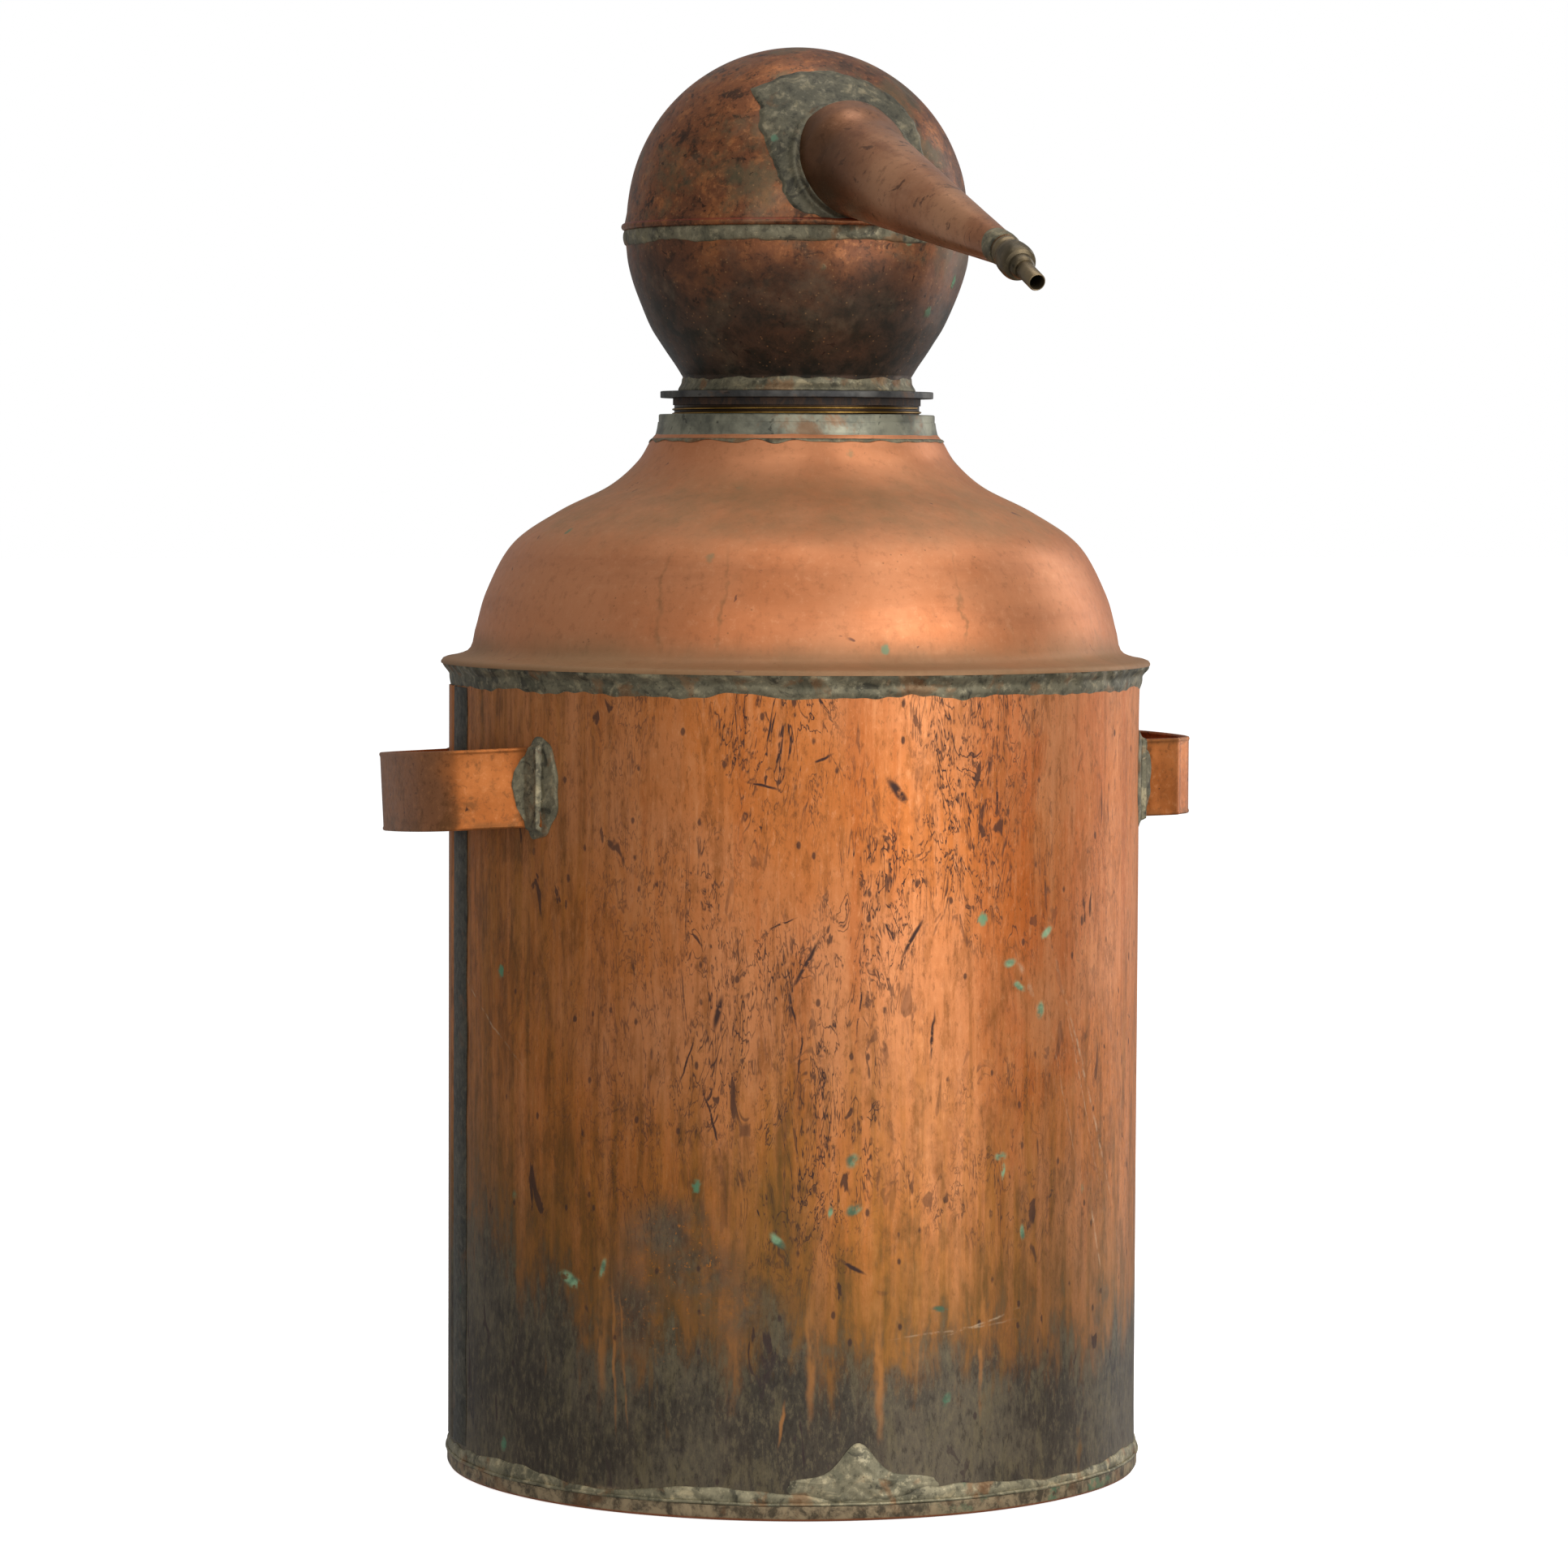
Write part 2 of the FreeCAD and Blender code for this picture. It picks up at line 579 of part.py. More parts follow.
def build():
    """Every piece of the still, by the name of its node."""
    pieces = {}
    dome_top = shoulder()
    pieces["shoulder"] = dome_top
    pieces["pot_wall"] = pot_wall(dome_top)
    pieces["pot_bottom"] = pot_bottom()
    pieces["base_rim_bead"] = base_rim_bead()
    pieces["base_solder"] = base_solder()
    pieces["base_repair_patch"] = base_repair_patch(pieces["base_solder"])
    pieces["shoulder_solder"] = shoulder_solder(dome_top)
    pieces["side_seam"] = wall_strip(LAP_DEG, LAP_T)
    pieces["side_seam_solder"] = wall_strip(SEAM_SOLDER_DEG, SEAM_SOLDER_T)
    pieces["collar_thread_ring"] = collar_thread_ring()
    pieces["collar_skirt"] = collar_skirt().cut(dome_top)
    pieces["collar_solder"] = collar_solder(dome_top, pieces["collar_skirt"])

    left_rear_drop = 2 * polar(POT_R, PATCH_DEG).y * math.tan(math.radians(LEFT_TILT_DEG))
    left = handle(LEFT_REACH, LEFT_DROOP_DEG, LEFT_TILT_DEG)
    left.rotate(ORIGIN, UP, 180.0)
    right = handle(RIGHT_REACH, 0.0, 0.0)
    pieces["handle_left"] = left
    pieces["handle_right"] = right
    pieces["handle_left_front_solder"] = handle_patch(180.0 + PATCH_DEG, HANDLE_Z, left)
    pieces["handle_left_rear_solder"] = handle_patch(180.0 - PATCH_DEG, HANDLE_Z - left_rear_drop, left)
    pieces["handle_right_front_solder"] = handle_patch(-PATCH_DEG, HANDLE_Z, right)
    pieces["handle_right_rear_solder"] = handle_patch(PATCH_DEG, HANDLE_Z, right)

    cone_body = spout_cone_solid(0.0, CONE_START, CONE_END)
    pieces["neck_thread_ring"] = neck_thread_ring()
    pieces["neck_seal"] = neck_seal()
    pieces["neck_plate"] = neck_plate()
    pieces["neck_solder"] = neck_solder()
    pieces["head_lower_bowl"] = head_lower_bowl()
    pieces["head_upper_bowl"] = head_upper_bowl(cone_body)
    pieces["belt_solder"] = belt_solder()
    pieces["spout_cone"] = spout_cone()
    pieces["spout_seam"] = spout_seam()
    pieces["spout_root_solder"] = spout_root_solder(cone_body)
    pieces["spout_ferrule"] = spout_ferrule()
    pieces["ferrule_solder"] = ferrule_solder(cone_body)
    pieces["spout_tube"] = spout_tube()
    return pieces


def main():
    os.makedirs("parts", exist_ok=True)
    for name, shape in build().items():
        solids = shape.Solids
        box = shape.BoundBox
        spans = []
        for low, high in ((box.XMin, box.XMax), (box.YMin, box.YMax), (box.ZMin, box.ZMax)):
            spans.append(f"{low:7.1f} {high:7.1f}")
        print(f"{name:26s} solids {len(solids)} valid {shape.isValid()} volume {shape.Volume:9.0f}", *spans)
        shape.exportStep("parts/" + name + ".step")


main()
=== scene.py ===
"""Looks of the copper alembic still: worn copper, hand-laid solder and brass fittings round the CAD frame."""

import math

import bmesh
import bpy
import numpy as np
from mathutils import Matrix, Vector


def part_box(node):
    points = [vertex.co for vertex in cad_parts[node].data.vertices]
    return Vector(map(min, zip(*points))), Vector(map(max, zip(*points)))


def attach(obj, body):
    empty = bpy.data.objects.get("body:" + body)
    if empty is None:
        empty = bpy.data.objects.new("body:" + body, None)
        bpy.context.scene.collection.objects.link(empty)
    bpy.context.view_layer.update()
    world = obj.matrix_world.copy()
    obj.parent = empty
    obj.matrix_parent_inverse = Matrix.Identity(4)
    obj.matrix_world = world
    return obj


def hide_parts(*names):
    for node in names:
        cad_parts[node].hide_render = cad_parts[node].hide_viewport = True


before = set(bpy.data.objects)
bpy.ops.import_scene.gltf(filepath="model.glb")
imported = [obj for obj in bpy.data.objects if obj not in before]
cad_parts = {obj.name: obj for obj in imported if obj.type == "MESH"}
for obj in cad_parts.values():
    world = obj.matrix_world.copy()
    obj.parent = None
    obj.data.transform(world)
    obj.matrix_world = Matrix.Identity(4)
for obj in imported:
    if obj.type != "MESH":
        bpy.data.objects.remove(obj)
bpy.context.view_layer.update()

MM = 0.001
TAU = 2 * math.pi

# Places and sizes of the design, in millimetres, as the CAD frame has them
POT_R = 200.0
SHEET = 1.5
RIM_R = 201.6
RIM_TOP = 9.0
FLANGE_R = 205.8
FLANGE_Z = 467.9
DOME = [
    (187.1, 479.9), (180.0, 507.5), (164.2, 535.7), (137.4, 554.5), (109.2, 568.7), (92.9, 582.8),
    (84.6, 595.5),
]
NECK_R = 78.6
COLLAR_Z = 610.4
SKIRT_TOP = 605.9
SKIRT_FOOT = 595.8
PLATE_R = 79.1
PLATE_LOW = 619.8
PLATE_TOP = 623.7
HEAD_NECK_R = 66.0
BOWL = [
    (66.2, 632.0), (70.6, 639.1), (78.9, 650.9), (86.1, 662.6), (93.9, 681.3), (98.1, 695.4), (99.4, 706.0),
    (99.6, 715.5),
]
GLOBE_R = 99.0
GLOBE_Z = 723.0
BEAD_Z = 718.2
SPOUT_FALL = math.radians(14.1)
SPOUT_Z = 773.8
CONE_END = 322.7
CONE_END_R = 8.1
CONE_TAPER = 0.094
NOZZLE_DROOP = math.radians(9.0)
HANDLE_Z = 400.8
TAB_R = 201.1
TAB_DEG = 24.6
LEG_DEG = 20.6
PATCH_DEG = 24.0
LEFT_REAR_DROP = 8.5
HEAD_SHEET = 1.2
SEAM_LOW_Z = 19.0
SEAM_TOP_Z = 454.0
ROOT_RISE = math.radians(17.5)
ROOT_NEAR = 19.0
ROOT_RIDGE = 36.0


# ---------------------------------------------------------------- numbers
def ripple(angle, height, seed, turns, tall, waves=14):
    """Smooth noise from -1 to 1 that closes round the circle. turns is its finest count of lobes a turn."""
    dice = np.random.default_rng(seed)
    total = np.zeros(np.broadcast(angle, height).shape)
    for _ in range(waves):
        lobes = dice.integers(max(1, turns // 4), turns + 1) * dice.choice([-1, 1])
        rise = dice.uniform(-1, 1) * TAU / tall
        total = total + np.cos(lobes * angle + rise * height + dice.uniform(0, TAU))
    return total / math.sqrt(waves) / 1.4


def edge_ripple(angle, seed, turns):
    """Ripple of an edge, which has no height of its own."""
    return ripple(angle, 0 * angle, seed, turns, 50.0)


def smooth(low, high, value):
    """A soft step from 0 at low to 1 at high."""
    t = np.clip((value - low) / (high - low), 0, 1)
    return t * t * (3 - 2 * t)


def curve_through(points, count):
    """Points spaced along a smooth curve through the given ones."""
    p = np.array(points, float)
    ends = np.vstack([2 * p[0] - p[1], p, 2 * p[-1] - p[-2]])
    chord = np.concatenate([[0], np.cumsum(np.linalg.norm(np.diff(p, axis=0), axis=1) ** 0.5)])
    where = np.linspace(0, chord[-1], count)
    made = []
    for w in where:
        i = min(int(np.searchsorted(chord, w, side="right")) - 1, len(p) - 2)
        t = (w - chord[i]) / (chord[i + 1] - chord[i])
        a, b, c, d = ends[i : i + 4]
        made.append(
            0.5 * (2 * b + (c - a) * t + (2 * a - 5 * b + 4 * c - d) * t**2 + (3 * b - a - 3 * c + d) * t**3)
        )
    return np.array(made)


def offset_inward(points, thickness):
    """A revolved outline moved inward by the sheet's thickness, square to the curve."""
    p = np.array(points, float)
    step = np.gradient(p, axis=0)
    step /= np.linalg.norm(step, axis=1)[:, None]
    normal = np.stack([-step[:, 1], step[:, 0]], -1)
    normal[normal[:, 0] > 0] *= -1
    return p + normal * thickness


# ---------------------------------------------------------------- meshes
def add_piece(name, points, faces, body, material, slot=None, sharp=38):
    """A mesh piece in millimetres that rides on a body and stands for the CAD node of the same name."""
    mesh = bpy.data.meshes.new(name)
    mesh.from_pydata((np.array(points) * MM).tolist(), [], faces)
    work = bmesh.new()
    work.from_mesh(mesh)
    bmesh.ops.remove_doubles(work, verts=work.verts, dist=2e-6)
    bmesh.ops.recalc_face_normals(work, faces=work.faces)
    work.to_mesh(mesh)
    work.free()
    mesh.polygons.foreach_set("use_smooth", [True] * len(mesh.polygons))
    mesh.set_sharp_from_angle(angle=math.radians(sharp))
    piece = bpy.data.objects.new(name, mesh)
    bpy.context.scene.collection.objects.link(piece)
    piece.data.materials.append(materials[material])
    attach(piece, body)
    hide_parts(name)


def rings_to_mesh(rings, closed):
    """Points and faces that join rings of points. Each ring is a loop; open stacks get end caps."""
    rings = np.asarray(rings)
    count, size = rings.shape[:2]
    faces = []
    for i in range(count if closed else count - 1):
        j = (i + 1) % count
        for k in range(size):
            n = (k + 1) % size
            faces.append((i * size + k, i * size + n, j * size + n, j * size + k))
    if not closed:
        faces.append(tuple(range(size)))
        faces.append(tuple(reversed(range((count - 1) * size, count * size))))
    return rings.reshape(-1, 3), faces


def lathe(name, outline, segments, body, material, shape=None, **extra):
    """A ring turned from a closed outline of radius and height pairs. shape(angle, r, z) may bend it."""
    outline = np.array(outline, float)
    angle = np.linspace(0, TAU, segments, endpoint=False)[:, None]
    r = np.repeat(outline[None, :, 0], segments, 0)
    z = np.repeat(outline[None, :, 1], segments, 0)
    if shape:
        r, z = shape(angle, r, z)
    rings = np.stack([r * np.cos(angle), r * np.sin(angle), z], -1)
    points, faces = rings_to_mesh(rings, True)
    add_piece(name, points, faces, body, material, **extra)


def rounded(outline, radius=0.35, steps=3):
    """A closed outline with its corners rounded off."""
    p = np.array(outline, float)
    made = []
    for i in range(len(p)):
        before, here, after = p[i - 1], p[i], p[(i + 1) % len(p)]
        a, b = before - here, after - here
        la, lb = np.linalg.norm(a), np.linalg.norm(b)
        cut = min(radius, 0.4 * la, 0.4 * lb)
        start, end = here + a / la * cut, here + b / lb * cut
        for t in np.linspace(0, 1, steps + 1):
            made.append((1 - t) ** 2 * start + 2 * t * (1 - t) * here + t**2 * end)
    return np.array(made)


def solder_band(
    name, radius_at, low_at, top_at, thickness, seed, body="pot", segments=720, material="solder"
):
    """A band of solder round a turned surface. low_at(angle) and top_at(angle) are its wandering edges."""
    angle = np.linspace(0, TAU, segments, endpoint=False)[:, None]
    across = np.linspace(0, 1, 16)[None, :]
    low, top = low_at(angle), top_at(angle)
    z = low + (top - low) * across
    body_height = np.sin(np.pi * np.clip(across, 0.0, 1.0)) ** 0.45
    lumps = ripple(angle, z, seed + 1, 90, 9.0, 22) * 0.6 + ripple(angle, z, seed + 2, 34, 22.0) * 0.6
    raised = thickness * body_height * (1 + 0.35 * lumps)
    outer = radius_at(z) + np.maximum(raised, 0.02)
    inner = radius_at(z) - 0.35
    r = np.concatenate([outer, inner[:, ::-1]], 1)
    height = np.concatenate([z, z[:, ::-1]], 1)
    rings = np.stack([r * np.cos(angle), r * np.sin(angle), height], -1)
    points, faces = rings_to_mesh(rings, True)
    add_piece(name, points, faces, body, material, slot="solder", sharp=60)


def wall_point(u, v, h, turn, middle_z):
    """A place on the pot's wall: u along it, v up, h proud of it."""
    angle = turn + u / POT_R
    return np.stack([(POT_R + h) * np.cos(angle), (POT_R + h) * np.sin(angle), middle_z + v], -1)


def wall_patch(name, turn_deg, middle_z, edge_at, height_at, material="solder"):
    """A pad of solder on the wall. edge_at(bearing) is its outline, height_at(u, v, share) its thickness."""
    bearing = np.linspace(0, TAU, 200, endpoint=False)[:, None]
    share = np.linspace(0, 1, 40)[None, :]
    edge_u, edge_v = edge_at(bearing)
    u, v = edge_u * share, edge_v * share
    h = height_at(u, v, share)
    turn = math.radians(turn_deg)
    top = wall_point(u, v, h, turn, middle_z)
    under = wall_point(u, v, np.full_like(h, -0.4), turn, middle_z)
    rings = np.concatenate([top, under[:, ::-1]], 1)
    points, faces = rings_to_mesh(rings, True)
    add_piece(name, points, faces, "pot", material, slot="solder", sharp=60)


# ---------------------------------------------------------------- materials
def srgb(red, green, blue):
    """A colour given as it looks on a screen, 0 to 255, as the shader wants it."""
    made = []
    for value in (red, green, blue):
        value /= 255
        made.append(value / 12.92 if value <= 0.04045 else ((value + 0.055) / 1.055) ** 2.4)
    return (*made, 1.0)


class Shader:
    """A material's node tree, with short calls for the nodes that the metals share."""

    def __init__(self, name):
        self.material = bpy.data.materials.new(name)
        self.material.use_nodes = True
        self.tree = self.material.node_tree
        self.main = self.tree.nodes["Principled BSDF"]
        self.place = self.tree.nodes.new("ShaderNodeTexCoord").outputs["Object"]
        parts = self.tree.nodes.new("ShaderNodeSeparateXYZ")
        self.link(self.place, parts.inputs[0])
        self.x, self.y, self.z = parts.outputs

    def link(self, source, target):
        self.tree.links.new(source, target)

    def feed(self, socket, value):
        """Links a socket, or sets a plain number or colour."""
        if isinstance(value, bpy.types.NodeSocket):
            self.link(value, socket)
        else:
            socket.default_value = value

    def math(self, operation, first, second=None, clamp=False):
        node = self.tree.nodes.new("ShaderNodeMath")
        node.operation = operation
        node.use_clamp = clamp
        for socket, value in zip(node.inputs, (first, second)):
            if value is not None:
                self.feed(socket, value)
        return node.outputs[0]

    def scaled(self, x, y, z, shift=(0.0, 0.0, 0.0)):
        """The object's coordinates, stretched."""
        node = self.tree.nodes.new("ShaderNodeMapping")
        self.link(self.place, node.inputs["Vector"])
        node.inputs["Scale"].default_value = (x, y, z)
        node.inputs["Location"].default_value = shift
        return node.outputs[0]

    def noise(self, scale, detail=5.0, rough=0.55, warp=0.0, vector=None):
        """Noise about 0.5, in lumps a 1/scale of a metre across."""
        node = self.tree.nodes.new("ShaderNodeTexNoise")
        self.link(vector or self.place, node.inputs["Vector"])
        node.inputs["Scale"].default_value = scale
        node.inputs["Detail"].default_value = detail
        node.inputs["Roughness"].default_value = rough
        node.inputs["Distortion"].default_value = warp
        return node.outputs["Fac"]

    def cells(self, scale, vector=None):
        """Round cells, with the distance from the middle of each and a colour drawn for each."""
        node = self.tree.nodes.new("ShaderNodeTexVoronoi")
        self.link(vector or self.place, node.inputs["Vector"])
        node.inputs["Scale"].default_value = scale
        return node

    def step(self, value, low, high):
        """0 below low, 1 above high, soft between. low may be above high."""
        node = self.tree.nodes.new("ShaderNodeMapRange")
        node.interpolation_type = "SMOOTHSTEP"
        self.feed(node.inputs["Value"], value)
        node.inputs["From Min"].default_value = low
        node.inputs["From Max"].default_value = high
        return node.outputs["Result"]

    def spread(self, value, low, high, out_low, out_high):
        node = self.tree.nodes.new("ShaderNodeMapRange")
        self.feed(node.inputs["Value"], value)
        for socket, number in (
            ("From Min", low), ("From Max", high), ("To Min", out_low), ("To Max", out_high)
        ):
            node.inputs[socket].default_value = number
        return node.outputs["Result"]

    def mix(self, share, first, second):
        node = self.tree.nodes.new("ShaderNodeMix")
        node.data_type = "RGBA"
        self.feed(node.inputs["Factor"], share)
        self.feed(node.inputs[6], first)
        self.feed(node.inputs[7], second)
        return node.outputs[2]

    def times(self, *values):
        made = values[0]
        for value in values[1:]:
            made = self.math("MULTIPLY", made, value)
        return made

    def plus(self, *values):
        made = values[0]
        for value in values[1:]:
            made = self.math("ADD", made, value)
        return made

    def highest(self, first, *others):
        made = first
        for value in others:
            made = self.math("MAXIMUM", made, value)
        return made

    def layers(self, colour, coats):
        """A colour under coats. Each coat covers where its value has gone from low to high, by its amount."""
        for value, low, high, amount, over in coats:
            colour = self.mix(self.times(self.step(value, low, high), amount), colour, over)
        return colour

    def line(self, value, middle, width):
        """1 where value is near middle, 0 further than width."""
        away = self.math("ABSOLUTE", self.math("SUBTRACT", value, middle))
        return self.step(away, width, 0.0)

    def angle(self, facing_deg):
        """Plan angle in degrees from a bearing about the Z axis, positive counter-clockwise."""
        turn = math.radians(facing_deg)
        ahead = self.plus(self.times(self.x, math.cos(turn)), self.times(self.y, math.sin(turn)))
        side = self.plus(self.times(self.x, -math.sin(turn)), self.times(self.y, math.cos(turn)))
        return self.times(self.math("ARCTAN2", side, ahead), math.degrees(1.0))

    def unrolled(self, across, high, wander, scale):
        """The wall laid flat, in millimetres along and up, with a little wander."""
        drift = self.tree.nodes.new("ShaderNodeTexNoise")
        drift.inputs["Scale"].default_value = scale
        drift.inputs["Detail"].default_value = 4.0
        self.link(self.place, drift.inputs["Vector"])
        flat = self.tree.nodes.new("ShaderNodeCombineXYZ")
        self.link(self.times(across, math.radians(POT_R)), flat.inputs[0])
        self.link(high, flat.inputs[1])
        moved = self.tree.nodes.new("ShaderNodeVectorMath")
        moved.operation = "MULTIPLY_ADD"
        self.link(drift.outputs["Color"], moved.inputs[0])
        moved.inputs[1].default_value = (wander, wander, 0.0)
        self.link(flat.outputs[0], moved.inputs[2])
        centred = self.tree.nodes.new("ShaderNodeVectorMath")
        centred.operation = "SUBTRACT"
        self.link(moved.outputs[0], centred.inputs[0])
        centred.inputs[1].default_value = (wander / 2, wander / 2, 0.0)
        return centred.outputs[0]

    def marks(self, flat, places, soft=0.35):
        """1 inside any of the ovals, each given as along, up, half length, half width and lean in degrees."""
        nearest = None
        for along, up, half_long, half_wide, lean in places:
            oval = self.tree.nodes.new("ShaderNodeMapping")
            oval.vector_type = "TEXTURE"
            self.link(flat, oval.inputs["Vector"])
            oval.inputs["Location"].default_value = (along, up, 0.0)
            oval.inputs["Rotation"].default_value = (0.0, 0.0, math.radians(lean))
            oval.inputs["Scale"].default_value = (half_long, half_wide, 1.0)
            size = self.tree.nodes.new("ShaderNodeVectorMath")
            size.operation = "LENGTH"
            self.link(oval.outputs[0], size.inputs[0])
            away = size.outputs["Value"]
            nearest = away if nearest is None else self.math("MINIMUM", nearest, away)
        return self.step(nearest, 1.0 + soft, 1.0 - soft)

    def bump(self, height, distance, strength=1.0):
        """Adds a relief, on top of any added before."""
        node = self.tree.nodes.new("ShaderNodeBump")
        node.inputs["Distance"].default_value = distance
        node.inputs["Strength"].default_value = strength
        self.link(height, node.inputs["Height"])
        before = self.main.inputs["Normal"].links
        if before:
            self.link(before[0].from_socket, node.inputs["Normal"])
        self.link(node.outputs[0], self.main.inputs["Normal"])

    def finish(self, colour, rough, metal):
        self.feed(self.main.inputs["Base Color"], colour)
        self.feed(self.main.inputs["Roughness"], rough)
        self.feed(self.main.inputs["Metallic"], metal)
        return self.material


def verdigris(s, colour, amount_scale, threshold, seed_shift=0.0, green=(96, 158, 122)):
    """Scattered crusts of green on a metal. Returns the new colour and the mask of the crusts."""
    cells = s.cells(amount_scale, s.scaled(1, 1, 0.8, (seed_shift, seed_shift, 0)))
    spot = s.step(
        s.plus(cells.outputs["Distance"], s.spread(s.noise(amount_scale * 6), 0, 1, -0.12, 0.12)), 0.2, 0.08
    )
    chance = s.tree.nodes.new("ShaderNodeSeparateColor")
    s.link(cells.outputs["Color"], chance.inputs[0])
    lucky = s.step(chance.outputs[0], threshold, threshold + 0.02)
    patch = s.step(s.noise(9.0, 2.0, 0.5, 0.0, s.scaled(1, 1, 1, (seed_shift, 2.0, 1.0))), 0.5, 0.58)
    mask = s.times(spot, lucky, patch)
    return s.mix(s.times(mask, 0.85), colour, srgb(*green)), mask


FRONT_DEG = 249.6  # the bearing that the pot's front faces, in degrees from +X


# Marks on the wall, as ovals. Each is placed in millimetres to the right of the front's middle and up,
# then has its half length, its half width and its lean in degrees.
GOUGES = [
    (-42.6, 281.0, 9.0, 1.6, 78.0), (6.0, 309.0, 15.0, 1.0, 62.0), (-1.0, 285.0, 12.0, 0.6, 100.0),
    (3.0, 258.0, 15.0, 0.5, 84.0), (66.0, 322.0, 11.0, 1.1, 60.0), (-46.0, 222.0, 19.0, 0.6, 106.0),
    (33.0, 141.0, 7.0, 1.1, -28.0), (14.0, 421.0, 6.0, 0.8, 25.0), (-18.0, 406.0, 8.0, 0.8, -10.0),
    (57.0, 403.0, 8.0, 2.2, -50.0), (118.0, 398.0, 11.0, 0.7, 88.0), (78.0, 268.0, 12.0, 0.8, 86.0),
    (-8.0, 330.0, 9.0, 0.5, 20.0), (-60.0, 255.0, 14.0, 0.5, 70.0), (36.0, 292.0, 22.0, 0.5, 88.0),
]
CRUSTS = [
    (156.0, 322.0, 4.0, 2.0, 30.0), (128.0, 307.0, 4.0, 2.2, 10.0), (134.0, 293.0, 5.0, 2.0, -30.0),
    (151.0, 279.0, 4.5, 2.8, 80.0), (33.0, 200.0, 3.6, 2.8, 60.0), (33.0, 173.0, 4.4, 2.4, 30.0),
    (20.0, 172.0, 3.0, 1.4, 80.0), (-9.0, 156.0, 5.0, 2.0, -50.0), (123.0, 199.0, 3.4, 2.4, 0.0),
    (124.0, 190.0, 4.0, 1.3, 80.0), (138.0, 155.0, 4.0, 1.6, 90.0), (-134.0, 128.0, 8.0, 3.0, -20.0),
    (-112.0, 136.0, 5.0, 1.8, 70.0), (84.0, 116.0, 4.0, 1.5, 0.0), (88.0, 65.0, 4.0, 1.8, 70.0),
]
DRIPS = [
    (-112.0, 122.0, 52.0, 3.4, 89.0), (-104.0, 92.0, 36.0, 0.9, 92.0), (-98.0, 88.0, 30.0, 0.7, 94.0),
    (10.0, 96.0, 34.0, 2.2, 90.0), (47.0, 98.0, 46.0, 2.6, 92.0), (110.0, 98.0, 34.0, 1.4, 89.0),
    (-60.0, 84.0, 12.0, 1.0, 91.0), (70.0, 110.0, 26.0, 1.3, 90.0), (-6.0, 54.0, 10.0, 0.9, 82.0),
]
SCRATCHES = [
    (198.0, 228.0, 82.0, 0.8, -66.0), (190.0, 232.0, 60.0, 0.35, -70.0), (96.0, 104.0, 26.0, 0.5, 4.0),
    (112.0, 107.0, 20.0, 0.5, 14.0), (-216.0, 272.0, 40.0, 0.5, -32.0), (140.0, 296.0, 14.0, 1.4, -62.0),
    (170.0, 236.0, 40.0, 0.4, -72.0), (205.0, 150.0, 22.0, 0.8, -74.0),
]
BLOTS = [
    (-72.0, 158.0, 24.0, 15.0, 10.0), (-54.0, 138.0, 22.0, 16.0, -10.0), (-92.0, 112.0, 22.0, 26.0, 0.0),
    (-30.0, 118.0, 24.0, 14.0, 0.0),
]


